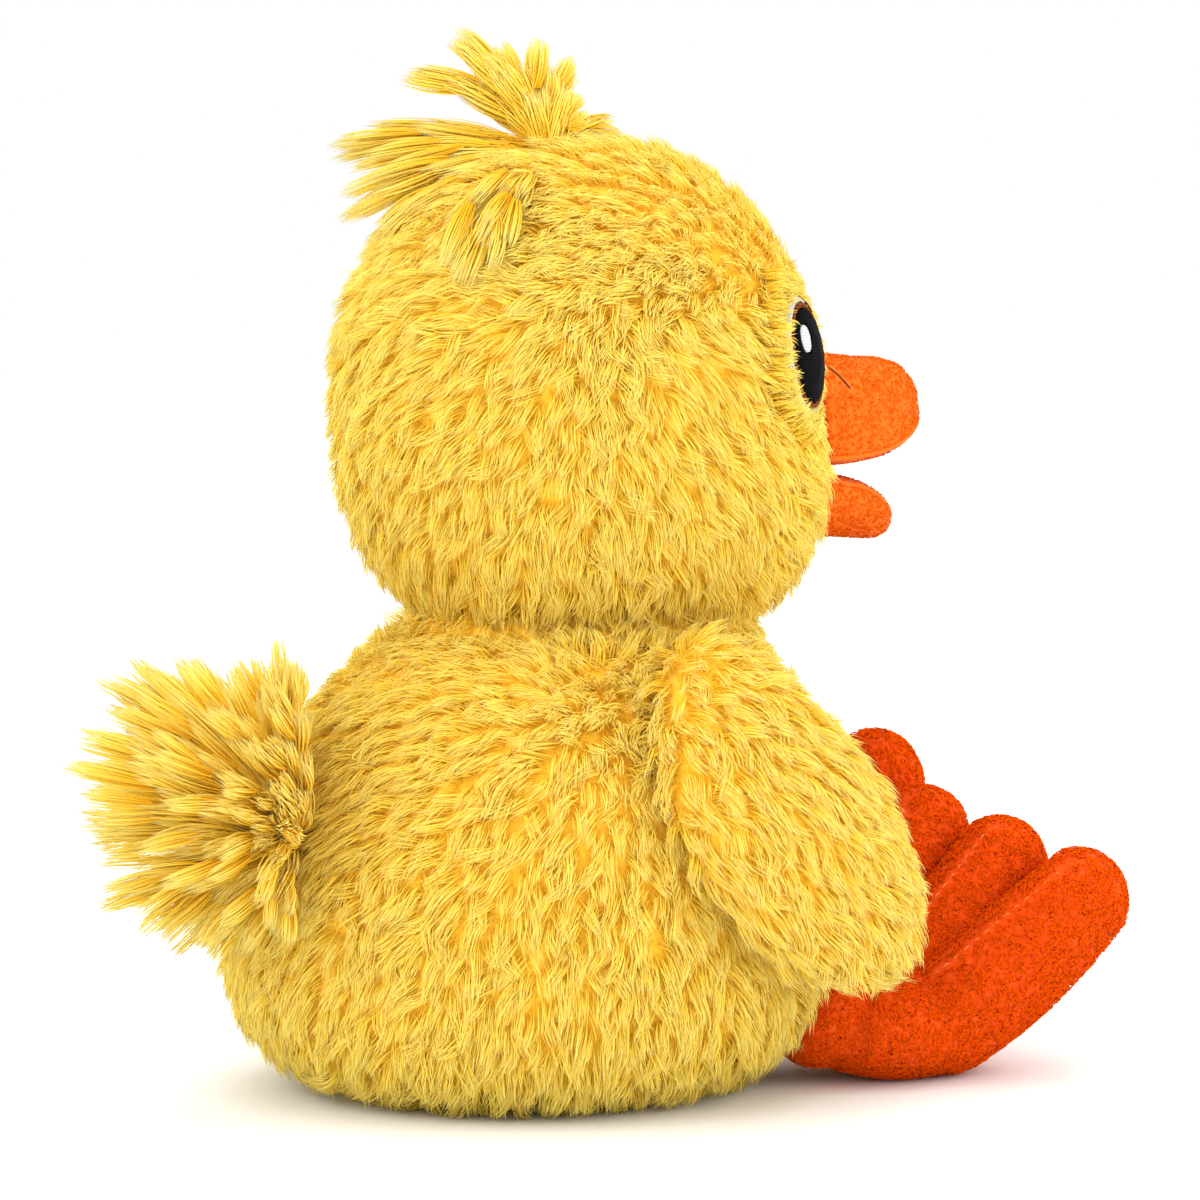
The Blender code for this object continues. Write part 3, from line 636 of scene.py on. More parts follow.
def lamp(name, where, size, power):
    data = bpy.data.lights.new(name, "AREA")
    data.shape = "DISK"
    data.size = size
    data.energy = power
    thing = placed(name, data)
    thing.location = where
    thing.rotation_euler = (LIT - where).to_track_quat("-Z", "Y").to_euler()


def seen(right, up, back):
    """A point by its place in the picture, in metres."""
    flat = Vector((BACK.x, BACK.y, 0)).normalized()
    return RIGHT * right + Vector((0, 0, up)) + flat * back


lamp("key", seen(-0.9, 1.3, 1.1), 1.2, 7.8)
lamp("fill", seen(1.3, 0.7, 0.9), 1.4, 5.6)
lamp("top", seen(0.1, 1.7, -0.3), 1.4, 5.0)
world = bpy.data.worlds.new("world")
bpy.context.scene.world = world
world.use_nodes = True
sky = world.node_tree
warm = sky.nodes["Background"]
warm.inputs["Color"].default_value = (1.0, 0.95, 0.85, 1)
warm.inputs["Strength"].default_value = 1.5
white = add(sky, "Background", Color=(1, 1, 1, 1), Strength=1.0)
rays, either, blend = (add(sky, kind) for kind in ("LightPath", "Math", "MixShader"))
either.operation = "MAXIMUM"
sky.links.new(rays.outputs["Is Camera Ray"], either.inputs[0])
sky.links.new(rays.outputs["Is Glossy Ray"], either.inputs[1])

sky.links.new(either.outputs[0], blend.inputs[0])
sky.links.new(warm.outputs[0], blend.inputs[1])
sky.links.new(white.outputs[0], blend.inputs[2])
sky.links.new(blend.outputs[0], sky.nodes["World Output"].inputs["Surface"])

floor_mesh = bpy.data.meshes.new("floor")
floor_mesh.from_pydata([(-9, -9, 0), (9, -9, 0), (9, 9, 0), (-9, 9, 0)], [], [(0, 1, 2, 3)])
floor = placed("floor", floor_mesh)
paper, _, matt = nodes_of("floor", 1.0, specular=0.0)
matt.inputs["Base Color"].default_value = (0.88, 0.92, 0.98, 1)
floor_mesh.materials.append(paper)


# Body

DENSE = 1.0


def strand_count(count):
    return max(4, int(count * DENSE))


rng = np.random.default_rng(11)
WING_SIDES = {"left": 1, "right": -1}
NECK_AT = np.array([0.0, -NECK_LEAN, NECK_HEIGHT])
TAIL_HEIGHT = 74.0
HALF_GAP = 0.002  # the share of a ball left out between its left and right panels


def torso_spot(bearing, height):
    """One point on the torso."""
    return torso_point(np.array([bearing]), np.array([height]), np.array([0.0]))[0]


TAIL_AT = torso_spot(math.radians(-90), TAIL_HEIGHT)


def torso_cut(height):
    power, reach = torso_form(height > WAIST_HEIGHT)
    share = (height - WAIST_HEIGHT) / reach
    return math.copysign(abs(share) ** (power / 2.0), share)


def cover(
    label, root, out, flow, length, lean, count, spread, body, stuff=fur_yellow, painted_shade=1.0
):
    """Tufts from roots along a flow, as pile; a painted shade below 1 paints them a deeper, darker
    orange.
    """
    paths, radii, shade, outs = clumps(
        root, out, flow, rng, length, lean, strand_count(count), spread
    )
    paths[..., 2] = np.maximum(paths[..., 2], LOWEST + 0.05)
    strands(label, paths, radii, shade * painted_shade, outs, stuff, body, rng)


def tuck(label, place, spacing, keep, aim, body, length, lean, count, spread, inset=BACKING):
    """More tufts where the combed pile parts or meets an edge."""
    root, out = scatter(place, spacing, rng, inset, keep)
    cover(label, root, out, aim(root), length, lean, count, spread, body)


for label, side in WING_SIDES.items():
    cuts = (
        ((0, 0, torso_cut(TORSO_TOP)), (0, 0, 1)),
        ((0, 0, torso_cut(SEAT_LINE)), (0, 0, -1)),
        ((side * HALF_GAP, 0, 0), (-side, 0, 0)),
    )
    panel(f"body_backing_{label}", torso, cuts, "torso", [f"body_panel_{label}"])


def base(u, inset=0.0):
    """The seat, flat under the torso, with its rim drawn in under the pile."""
    points = torso(u, BACKING + 0.5)
    points[:, 2] = np.where(points[:, 2] < 2.6, 0.9, points[:, 2]) + inset
    return points


seat_cut = (((0, 0, torso_cut(SEAT_LINE)), (0, 0, 1)),)
panel("base_backing", base, seat_cut, "torso", ["base_panel"], thickness=1.0, inset=0.0)


def off_neck(points, way):
    """Points, with those inside the neck's ball moved up or down to its surface."""
    across = np.hypot(points[:, 0], points[:, 1] + NECK_LEAN)
    clear = NECK_RADIUS + 1.0
    edge = NECK_HEIGHT + way * np.sqrt(np.maximum(clear**2 - across**2, 0.0))
    inside = (across < clear) & (way * points[:, 2] < way * edge)
    points[:, 2] = np.where(inside, edge, points[:, 2])
    return points


def inner_torso(u, inset=0.0):
    points = torso(u, inset)
    points[:, 2] = np.clip(points[:, 2], 5.0, TORSO_TOP - 8.0)
    return off_neck(points, -1)


lump(
    "stuffing_body", inner_torso, fibre_cloth, "torso", ["body_stuffing"], inset=BACKING + 2.4
)


def ankle_clear(point):
    keep = np.ones(len(point), bool)
    for name in ("foot_upper_left", "foot_upper_right"):
        low, high = (np.array(corner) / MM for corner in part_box(name))
        inside = np.all((point > low + 6.0) & (point < high - 6.0), axis=1)
        keep &= ~(inside & (point[:, 2] < 30.0))
    return keep


def torso_keep(point, out):
    high = point[:, 2] < TORSO_TOP
    low = point[:, 2] > 3.0
    tail = np.linalg.norm(point - TAIL_AT, axis=1) > 4.0
    return high & low & tail & ankle_clear(point)


def torso_flow(point):
    """Pile spreads out from high on each shoulder, and turns down towards the seat."""
    apart = point - mirrored(point, SHOULDER_WHORL)
    near = nearness(apart, WHORL_EYE)[:, None]
    away = unit(apart) * (1.0 - near) + np.array([0, 0.5, -1.0]) * near
    drop = np.clip((90.0 - point[:, 2]) / 90.0, 0, 1)[:, None]
    flow = away * (1.0 - 0.6 * drop) + DOWN * (0.1 + 0.8 * drop)
    middle = np.exp(-((point[:, 0] / MIDDLE) ** 2))[:, None]
    turned = rows(0.0, np.sign(point[:, 1]) * 0.6, -0.8)
    return flow * (1.0 - middle) + turned * middle


root, out = scatter(torso, SPACING, rng, BACKING, torso_keep)
near_top = np.clip((TORSO_TOP - root[:, 2]) / 14.0, 0.7, 1.0)
near_floor = np.clip((root[:, 2] + 10.0) / 18.0, 0.75, 1.0)
length = TUFT_LENGTH * (near_top * near_floor)
stand = nearness(root - mirrored(root, SHOULDER_WHORL), WHORL_REACH)
flow = torso_flow(root) + rng.normal(0, 0.9, root.shape) * stand[:, None]
lean = 31.0 + 10.0 * stand
for label, side in WING_SIDES.items():
    mine = root[:, 0] * side >= 0
    cover(
        f"body_fur_{label}", root[mine], out[mine], flow[mine], length[mine], lean[mine],
        TUFT_STRANDS, TUFT_SPREAD, "torso",
    )


def shoulder_keep(point, out):
    x, y, z = SHOULDER_WHORL
    return by_place(point, (x, y, z - 4.0), 34.0) & (point[:, 2] < TORSO_TOP)


def shoulder_aim(root):
    return torso_flow(root) + rng.normal(0, 0.8, root.shape)


tuck("shoulder_tufts", torso, 3.0, shoulder_keep, shoulder_aim, "torso", 8.5, 58.0, 22, 2.0)


# Neck


def neck_ball(u, inset=0.0):
    points = NECK_AT + u * (NECK_RADIUS - 0.8 - inset)
    points[:, 2] = np.maximum(points[:, 2], NECK_HEIGHT - 14.0)
    return points


lump("neck_backing", neck_ball, (backing_cloth, "fur_yellow"), "neck", ["neck"])


def neck_keep(point, out):
    return (point[:, 2] > 108.0) & (point[:, 2] < 130.0)


root, out = scatter(neck_ball, 3.2, rng, 0.0, neck_keep)
flow = DOWN + rng.normal(0, 0.2, root.shape)
# The neck's pile is painted a deeper, darker orange: painted shade in the crease under the head.
cover("neck_fur", root, out, flow, 7.5, 45, 12, 2.0, "neck", painted_shade=0.4)

# Head

SEAM_GAP = 0.1
above = (CROWN_SEAM + SEAM_GAP) / HEAD_RISE
below = (CROWN_SEAM - SEAM_GAP) / HEAD_RISE
crown_cut = (((0, 0, above ** (CROWN_POWER / 2.0)), (0, 0, -1)),)
panel("crown_backing", head, crown_cut, "head", ["head_crown_panel"])
JOWL_CUT = -((HEAD_CENTRE - 17.0) / HEAD_DROP) ** (JOWL_POWER / 2.0)
for label, side in WING_SIDES.items():
    cuts = (
        ((0, 0, below ** (CROWN_POWER / 2.0)), (0, 0, 1)),
        ((0, 0, JOWL_CUT), (0, 0, -1)),
        ((side * HALF_GAP, 0, 0), (-side, 0, 0)),
    )
    panel(f"head_backing_{label}", head, cuts, "head", [f"head_panel_{label}"])


def inner_head(u, inset=0.0):
    return off_neck(head(u, inset), 1)


lump("stuffing_head", inner_head, fibre_cloth, "head", ["head_stuffing"], inset=BACKING + 2.0)

# The face, seen from the neck's centre
EYE_BEARING = math.radians(57)
EYE_HEIGHT = HEAD_CENTRE + 10.5
EYE_HALF_WIDTH = 10.8
EYE_HALF_HEIGHT = 15.6
MOUTH_HEIGHT = HEAD_CENTRE - 20.0
CREST_AT = from_head(np.array([[0.0, 11.0, HEAD_CENTRE + 65.3]]))[0]
EYE_AT = (HEAD_WIDTH * math.sin(EYE_BEARING), -HEAD_DEPTH * math.cos(EYE_BEARING), EYE_HEIGHT)


def bearing_of(local):
    """The angle from straight ahead, to either side."""
    return np.arctan2(np.abs(local[:, 0]), -local[:, 1])


def eye_share(local):
    """How far points are from the nearer eye's middle, where 1 is its edge."""
    wide = (bearing_of(local) - EYE_BEARING) * HEAD_WIDTH / EYE_HALF_WIDTH
    tall = (local[:, 2] - EYE_HEIGHT) / EYE_HALF_HEIGHT
    return np.hypot(wide, tall)


def bill_share(local):
    """How far points are from the bill's middle, where 1 is its root's edge."""
    wide = local[:, 0] / 25.0
    tall = (local[:, 2] - MOUTH_HEIGHT - 7.0) / 25.0
    return np.where(local[:, 1] < 0, np.hypot(wide, tall), 9.0)


def head_keep(point, out):
    local = to_head(point)
    edge = np.where(bearing_of(local) > EYE_BEARING, 1.05, 1.03)
    clear = (eye_share(local) > edge) & (bill_share(local) > 0.98)
    low = np.linalg.norm(point - NECK_AT, axis=1) > NECK_RADIUS - 2.0
    crest = np.linalg.norm(point - CREST_AT, axis=1) > 5.0
    return clear & low & crest & (local[:, 2] > 14.5)


def head_flow(local):
    """Pile runs down the side panels from high on each cheek, and back over the crown."""
    apart = local - mirrored(local, CHEEK_WHORL)
    near = nearness(apart, WHORL_EYE)[:, None]
    away = unit(apart) * (1.0 - near) + np.array([0, 0.4, -1.0]) * near + np.array([0, 0, -0.3])
    middle = np.exp(-((local[:, 0] / MIDDLE) ** 2))[:, None]
    away = away * (1.0 - middle) + DOWN * middle
    fall = np.clip((local[:, 1] + 10.0) / 40.0, 0, 1)
    upward = rows(local[:, 0] * 0.006, 1.0, -0.6 * fall)
    share = eased(np.clip((local[:, 2] - HEAD_CENTRE - CROWN_SEAM + 14.0) / 30.0, 0, 1))[:, None]
    turn = np.arctan2(local[:, 1], local[:, 0])
    sideways = rows(np.sin(turn), -np.cos(turn), 0.0)
    backward = sideways * share * (1.0 - share) * 2.4
    return away * (1.0 - share) + upward * share + backward


root, out = scatter(head, SPACING, rng, BACKING, head_keep)
local = to_head(root)
bearing = bearing_of(local)
crown = local[:, 2] > HEAD_CENTRE + CROWN_SEAM
behind = bearing > EYE_BEARING
by_eye = np.clip(eye_share(local) * 0.9 - 0.3, np.where(behind, 0.85, 0.6), 1.0)
by_bill = np.clip(bill_share(local) - 0.45, 0.5, 1.0)
brow = np.clip((78.0 - np.degrees(bearing)) / 22.0, 0, 1)
brow = brow * np.clip((local[:, 2] - HEAD_CENTRE + 22.0) / 16.0, 0, 1)
brow = brow * np.clip((HEAD_CENTRE + 58.0 - local[:, 2]) / 22.0, 0, 1)
length = TUFT_LENGTH * by_eye * by_bill * (1.0 - 0.42 * brow)
stand = nearness(local - mirrored(local, CHEEK_WHORL), WHORL_REACH)
flow = head_flow(local) @ HEAD_SPIN.T + rng.normal(0, 0.25, root.shape) * stand[:, None]
lean = np.where(crown, 33.0, 31.0) + 2.0 * stand
for name, mine in (
    ("crown_fur", crown),
    ("head_fur_left", ~crown & (local[:, 0] >= 0)),
    ("head_fur_right", ~crown & (local[:, 0] < 0)),
):
    cover(
        name, root[mine], out[mine], flow[mine], length[mine], lean[mine],
        TUFT_STRANDS, TUFT_SPREAD, "head",
    )


def round_eye(near, far, overlap, behind=True):
    """A test for roots behind an eye, or before it, between two shares of its size."""

    def keep(point, out):
        local = to_head(point)
        share = eye_share(local)
        back = bearing_of(local) > EYE_BEARING - overlap
        return (back == behind) & (share > near) & (share < far)

    return keep


def fringe_aim(root):
    """Pile round an eye leans over the eye's edge."""
    local = to_head(root)
    return (unit(mirrored(local, EYE_AT) - local) + DOWN * 0.5) @ HEAD_SPIN.T


for name, spacing, keep, length, lean, spread, inset in (
    ("eye_fringe", 1.9, round_eye(1.02, 1.36, 0.05), 6.4, 54.0, 1.5, 2.0),
    ("eye_brow", 2.0, round_eye(1.02, 1.5, 0.05, False), 5.0, 48.0, 1.7, 2.6),
    ("eye_hedge", 1.1, round_eye(1.03, 1.22, 0.04), 6.7, 69.0, 1.1, 2.0),
):
    tuck(name, head, spacing, keep, fringe_aim, "head", length, lean, 16, spread, inset)


def cheek_keep(point, out):
    return by_place(to_head(point), CHEEK_WHORL, 36.0)


def cheek_aim(root):
    return head_flow(to_head(root)) @ HEAD_SPIN.T + rng.normal(0, 0.25, root.shape)


tuck("cheek_tufts", head, 3.0, cheek_keep, cheek_aim, "head", 8.5, 40.0, 22, 2.2)

# Wings

UNDERSIDE = 0.5  # how far a normal turns inwards where a wing's underside starts
WING_BACKING, WING_LINING = 3.6, 2.8  # how far the cloth lies under the pile on each side
WING_SPREAD = 2.2
for label, side in WING_SIDES.items():
    place = wing(side)
    body = f"wing_{label}"
    for name, node, face, thickness, inset in (
        ("wing_backing", "wing_panel", 1, 1.0, WING_BACKING),
        ("wing_underside", "wing_lining", -1, 0.8, WING_LINING),
    ):
        half = (((0, 0, face * 0.012), (0, 0, -face)),)
        panel(
            f"{name}_{label}", place, half, body, [f"{node}_{label}"], thickness, inset, "fur_pale"
        )
    lump(
        f"stuffing_wing_{label}", place, fibre_cloth, body, [f"wing_stuffing_{label}"], inset=5.4
    )
    hinge = torso_spot(WING_BEARING, WING_TOP + 4.0)
    hinge[0] *= side
    tip, upper, under = place(np.array([[0, 1.0, 0], [0, 0, 1.0], [0, 0, -1.0]]))
    outward, axis = unit(upper - under), unit(tip - hinge)

    def wing_keep(point, out, outward=outward):
        return out @ outward > -UNDERSIDE

    def under_keep(point, out, outward=outward):
        return out @ outward <= -UNDERSIDE

    root, out = scatter(place, 2.8, rng, WING_BACKING, wing_keep)
    flow = unit(root - (hinge - axis * 12.0)) + axis * 0.35
    lean = 28.0 + 28.0 * nearness(root - hinge, 14.0)
    cover(
        f"wing_fur_{label}", root, out, flow, TUFT_LENGTH, lean, TUFT_STRANDS, WING_SPREAD, body,
        fur_pale,
    )
    root, out = scatter(place, 3.1, rng, WING_LINING, under_keep)
    flow = np.tile(axis[None], (len(root), 1))
    cover(f"wing_under_fur_{label}", root, out, flow, 5.0, 24, 11, WING_SPREAD, body, fur_pale)

# Crest and tail


def wisps(root, tips, rng, wide, count, bow, root_spread, width=0.2, ragged=0.06):
    """Long bundles of pile, narrow where they are sewn and ragged at their ends."""
    total = len(tips)
    aim = unit(tips - root)
    side = unit(np.cross(aim, rng.normal(size=aim.shape)))
    up = np.cross(aim, side)
    reach, x, y = disc(total, count, 1.0, rng)
    start = root[:, None] + rng.normal(0, root_spread / 2, (total, 1, 3))
    ends = 1.02 - ragged * reach**1.5 - rng.uniform(0, 0.15, reach.shape)
    t = np.linspace(0, 1, 6)[:, None]
    shift = x * side[:, None] + y * up[:, None]
    spine_end = tips[:, None] + shift * wide * 0.95
    spine_end = start + (spine_end - start) * ends
    middle = (start + spine_end) / 2 + bow[:, None] + shift * wide
    middle = middle + rng.normal(0, 0.5, middle.shape)
    first = start + shift * 1.2
    paths = bent(first[:, :, None], middle[:, :, None], spine_end[:, :, None], t).reshape(-1, 6, 3)
    radii, shade = fibres(total, count, width, (0.9, 1.0, 1.0, 0.95, 0.7, 0.0), 0.6, rng)
    outs = unit(paths[:, 3] - tips.mean(0) * 0.35 - root.mean(0) * 0.65)
    return paths, radii, shade, outs


def layered(roots, tips, bows, rng, wide, tufts, layers, reach=0.42):
    """Each lock as short tufts set one over the next along it, which end where they part."""
    total = len(tips) * tufts * layers
    first = np.repeat(roots, tufts * layers, 0)
    last = np.repeat(tips, tufts * layers, 0)
    middle = (first + last) / 2 + np.repeat(bows, tufts * layers, 0)
    aim = unit(last - first)
    loose = unit(rng.normal(size=aim.shape)) * rng.random((total, 1)) ** 0.5
    loose = loose - aim * np.sum(loose * aim, 1, keepdims=True)
    step = np.tile(np.linspace(0.0, 1.0 - reach, layers), len(tips) * tufts)[:, None]
    step = np.clip(step + rng.uniform(-0.07, 0.07, step.shape), 0.0, 1.0 - reach * 0.8)
    far = np.minimum(step + reach, 1.05)
    start = bent(first, middle, last, step) + loose * wide * step * 0.6
    end = bent(first, middle, last, far) + loose * wide * (0.35 + 0.65 * far)
    bow = loose * 1.4 + rng.normal(0, 0.5, start.shape)
    return start, end, bow


# The crest's and the tail's pile is the body's yellow pile, painted a little deeper orange as
# painted shade among the locks; deeper still at the roots, partly painted shade of the pile's
# depths.
TUFT_STOPS = (
    (0.0, (1.0, 0.56, 0.02)),
    (0.3, (1.0, 0.66, 0.05)),
    (0.65, (1.0, 0.77, 0.13)),
    (1.0, (1.0, 0.86, 0.30)),
)
fur_tuft = pile("fur_tuft", TUFT_STOPS, SHIFTS), "fur_yellow"


def pictured(places):
    """Millimetres right, up and near in the picture, as steps in the part's frame."""
    flat = unit(np.array([BACK.x, BACK.y, 0.0]))
    right = np.array([RIGHT.x, RIGHT.y, 0.0])
    return places[:, 0:1] * right + places[:, 1:2] * np.array([0, 0, 1.0]) + places[:, 2:3] * flat


# Each lock of the crest in the picture: where it starts and ends, and how it bows
CREST_LOCKS = np.array(
    [
        ((-2, -1, 0), (-54, -2, -6), (0, 8, 0)),
        ((-3, -2, 3), (-50, -9, 0), (0, 8, 1)),
        ((-3, -3, 5), (-53, -17, 6), (0, 8, 3)),
        ((-4, -5, 9), (-42, -26, 12), (-4, 8, 8)),
        ((-1, 0, 0), (-34, 20, -2), (3, 9, 0)),
        ((0, 0, 2), (-25, 28, 1), (3, 8, 0)),
        ((1, -1, 4), (-13, 25, 4), (2, 5, 0)),
        ((1, -2, 5), (-1, 27, 0), (-3, 4, 0)),
        ((2, -2, 4), (7, 23, -2), (-3, 4, 0)),
        ((2, -3, 4), (12, 12, 0), (-3, 6, 0)),
        ((-6, -7, 15), (-24, -31, 48), (-3, 8, 18)),
        ((-3, -8, 16), (-18, -34, 51), (-1, 8, 20)),
        ((-1, -8, 15), (-12, -28, 48), (0, 8, 19)),
        ((-1, -6, -8), (-24, -20, -42), (-2, 10, -12)),
        ((1, -5, -6), (2, -18, -44), (0, 12, -12)),
        ((2, -3, -3), (16, 4, -26), (0, 8, -4)),
    ],
    float,
)
crest_root = CREST_AT + np.array([0, 0, -1.0])
roots, tips, bows = (pictured(CREST_LOCKS[:, k]) for k in range(3))
start, end, bow = layered(crest_root + roots, crest_root + tips, bows, rng, 7.0, 4, 4, 0.46)
locks = wisps(start, end, rng, 1.9, strand_count(26), bow, 1.0)
crest = strands("crest_fur", *locks, fur_tuft, "head", rng)
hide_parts("crest")

TAIL_RISES = (-70, -55, -35, -25, -10, 10, 30, 40, 60, 75, 90)  # a lock's angle from level
TAIL_REACHES = (28, 36, 46, 50, 53, 57, 63, 66, 55, 51, 48)  # how long a lock at that angle is
TAIL_AXIS = unit(np.array([0.0, math.sin(math.radians(62)), math.cos(math.radians(62))]))
TAIL_UP = np.cross(TAIL_AXIS, np.array([1.0, 0, 0]))
TAIL_LOCKS = 60
GOLDEN_TURN = 2.39996
tips = []
for turn in range(TAIL_LOCKS):
    around = turn * GOLDEN_TURN
    widest = 62.0 + 28.0 * math.sin(around) ** 2
    lean = math.radians(widest) * math.sqrt((turn + 0.5) / TAIL_LOCKS)
    aim = TAIL_AXIS * math.cos(lean) + math.sin(lean) * (
        np.array([1.0, 0, 0]) * math.cos(around) + TAIL_UP * math.sin(around)
    )
    aim = np.maximum(aim, [-1.0, 0.72 * abs(aim[0]), -1.0])
    aim = unit(aim)
    reach = np.interp(math.degrees(math.asin(aim[2])), TAIL_RISES, TAIL_REACHES)
    tips.append(aim * reach * rng.uniform(0.88, 1.03))
tips = np.array(tips)
tail_root = TAIL_AT + np.array([0, 0, -6.0])
roots = tail_root + tips * np.array([0.10, 0.0, 0.12])
bows = np.array([0, 0, 4.0]) + unit(tips) * np.array([3.0, 0, 3.0]) + rng.normal(0, 2.0, tips.shape)
start, end, bow = layered(roots, tail_root + tips, bows, rng, 6.5, 2, 5)
locks = wisps(start, end, rng, 1.9, strand_count(22), bow, 1.2)
tail = strands("tail_fur", *locks, fur_tuft, "torso", rng)
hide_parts("tail")

# Orange pieces


def rebuilt(name, sources, voxel, rounds, stuff, body, grow=1.0, alter=None):
    """A smooth piece grown from the nodes' own forms, with all but the first grown to meet it."""
    made = bmesh.new()
    for index, source in enumerate(sources):
        mesh = bpy.data.objects[source].data.copy()
        low, high = (Vector(corner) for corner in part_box(source))
        middle = (low + high) / 2
        if index:
            swell = Matrix.Translation(middle) @ Matrix.Scale(grow, 4) @ Matrix.Translation(-middle)
            mesh.transform(swell)
        made.from_mesh(mesh)
        bpy.data.meshes.remove(mesh)
    rough = bpy.data.meshes.new(name)
    made.to_mesh(rough)
    made.free()
    thing = placed(name, rough)
    remesh = thing.modifiers.new("remesh", "REMESH")
    remesh.mode = "VOXEL"
    remesh.voxel_size = voxel * MM * 1.0
    smooth = thing.modifiers.new("smooth", "SMOOTH")
    smooth.factor = 0.5
    smooth.iterations = rounds
    shaped = thing.evaluated_get(bpy.context.evaluated_depsgraph_get())
    mesh = bpy.data.meshes.new_from_object(shaped)
    bpy.data.objects.remove(thing)
    mesh.name = name
    mesh.materials.clear()
    if alter:
        alter(mesh)
    mesh.shade_smooth()
    whole = link(name, mesh, stuff, body)
    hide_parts(*sources)
    return whole


SOLE_SWELL = 6.5  # how far the stuffed sole bows out under the toes
SLANT = 0.707  # the toes rise at 45 degrees


def bowed(local):
    """Points seen from an ankle, with the sole bowed out between its bend and the toes' tips."""
    run = np.clip(((local[:, 2] - local[:, 1]) * SLANT - 8.0) / 72.0, 0, 1)
    depth = (local[:, 1] + local[:, 2] + 46.5) * SLANT
    push = SOLE_SWELL * np.sin(np.pi * run) * eased(np.clip((20.0 - depth) / 16.0, 0, 1))
    return local + push[:, None] * np.array([0.0, -SLANT, -SLANT])


def column(items, field, kind=np.float32):
    """A field of three values of each item, one item a row."""
    values = np.empty(len(items) * 3, kind)
    items.foreach_get(field, values)
    return values.reshape(-1, 3)


def swell_sole(mesh, ankle, turn):
    """Bow a foot's mesh, and keep it off the floor."""
    spin, shift = np.array(turn), np.array(ankle)
    world = bowed((column(mesh.vertices, "co") / MM - shift) @ spin) @ spin.T + shift
    world[:, 2] = np.maximum(world[:, 2], 0.4)
    mesh.vertices.foreach_set("co", (world * MM).astype(np.float32).ravel())
    mesh.update()


def on_surface(thing, starts, aims):
    """Where rays from inside a piece leave it, with the normals there."""
    mesh = thing.data
    tree = BVHTree.FromPolygons([v.co for v in mesh.vertices], [p.vertices for p in mesh.polygons])
    points, normals = [], []
    for start, aim in zip(starts, aims):
        hit, normal, _, _ = tree.ray_cast(Vector(start) * MM, Vector(aim))
        if hit is not None:
            points.append(np.array(hit) / MM)
            normals.append(np.array(normal))
    return np.array(points), np.array(normals)


def tube(name, points, radius, stuff, body, sides=8):
    """A closed round cord along points."""
    points = np.array(points, float)
    tangent = unit(np.gradient(points, axis=0))
    side = unit(np.cross(tangent, np.array([0.13, 0.41, 0.9])))
    up = np.cross(tangent, side)
    angle = np.linspace(0, 2 * math.pi, sides, endpoint=False)
    share = np.ones(len(points))
    share[0] = share[-1] = 0.55
    ring = np.cos(angle)[None, :, None] * side[:, None] + np.sin(angle)[None, :, None] * up[:, None]
    body_points = (points[:, None] + ring * (radius * share)[:, None, None]).reshape(-1, 3)
    faces = []
    for row in range(len(points) - 1):
        for col in range(sides):
            a, b = row * sides + col, row * sides + (col + 1) % sides
            faces.append((a, b, b + sides, a + sides))
    faces.append(tuple(range(sides))[::-1])
    faces.append(tuple(range((len(points) - 1) * sides, len(points) * sides)))
    link(name, plain_mesh(name, body_points, faces), stuff, body)


STITCH, STITCH_GAP, STITCH_RADIUS = 2.2, 1.2, 0.26


def stitches(label, path, normals, stuff, body):
    """A row of short stitches along a path over a surface."""
    reach = np.concatenate([[0], np.cumsum(np.linalg.norm(np.diff(path, axis=0), axis=1))])
    for index in range(int(reach[-1] / (STITCH + STITCH_GAP))):
        at = index * (STITCH + STITCH_GAP) + np.array([0.0, 0.2, 0.5, 0.8, 1.0]) * STITCH
        dash = np.stack([np.interp(at, reach, path[:, k]) for k in range(3)], 1)
        out = np.stack([np.interp(at, reach, normals[:, k]) for k in range(3)], 1)
        dip = np.array([-0.5, 0.6, 1.0, 0.6, -0.5])[:, None] * STITCH_RADIUS
        tube(f"{label}_{index}", dash + out * dip, STITCH_RADIUS, stuff, body)


def fleece(label, thing, spacing, curl, rise, width, stuff, body, lines=()):
    """Short curled pile that lies over a surface, parted along any lines of stitches."""
    mesh = thing.data
    mesh.calc_loop_triangles()
    root, out = sampled(
        column(mesh.vertices, "co").astype(float) / MM,
        column(mesh.vertex_normals, "vector").astype(float),
        column(mesh.loop_triangles, "vertices", np.int32),
        spacing / math.sqrt(DENSE),
        rng,
    )
    for line in lines:
        apart = np.linalg.norm(root[:, None] - line[None, ::2], axis=2).min(1)
        root, out = root[apart > 1.4], out[apart > 1.4]
    total = len(root)
    rough = rng.normal(size=(total, 3))
    aim = unit(rough - out * np.sum(rough * out, 1, keepdims=True))
    aside = np.cross(out, aim) * rng.choice([-1.0, 1.0], total)[:, None]
    size = rng.uniform(0.7, 1.3, (total, 1)) * curl
    high = rng.uniform(0.6, 1.2, (total, 1)) * rise
    paths = np.stack(
        [
            root - out * 0.2,
            root + out * high * 0.9 + aim * size * 0.35,
            root + out * high + aim * size * 0.75 + aside * size * 0.35,
            root + out * high * 0.45 + aim * size * 0.7 + aside * size * 0.85,
        ],
        1,
    )
    radii = rng.uniform(0.8, 1.2, (total, 1)) * width * np.array([1.0, 1.0, 0.9, 0.0])[None]
    strands(label, paths, radii, rng.random(total), out, stuff, body, rng, 0.5)
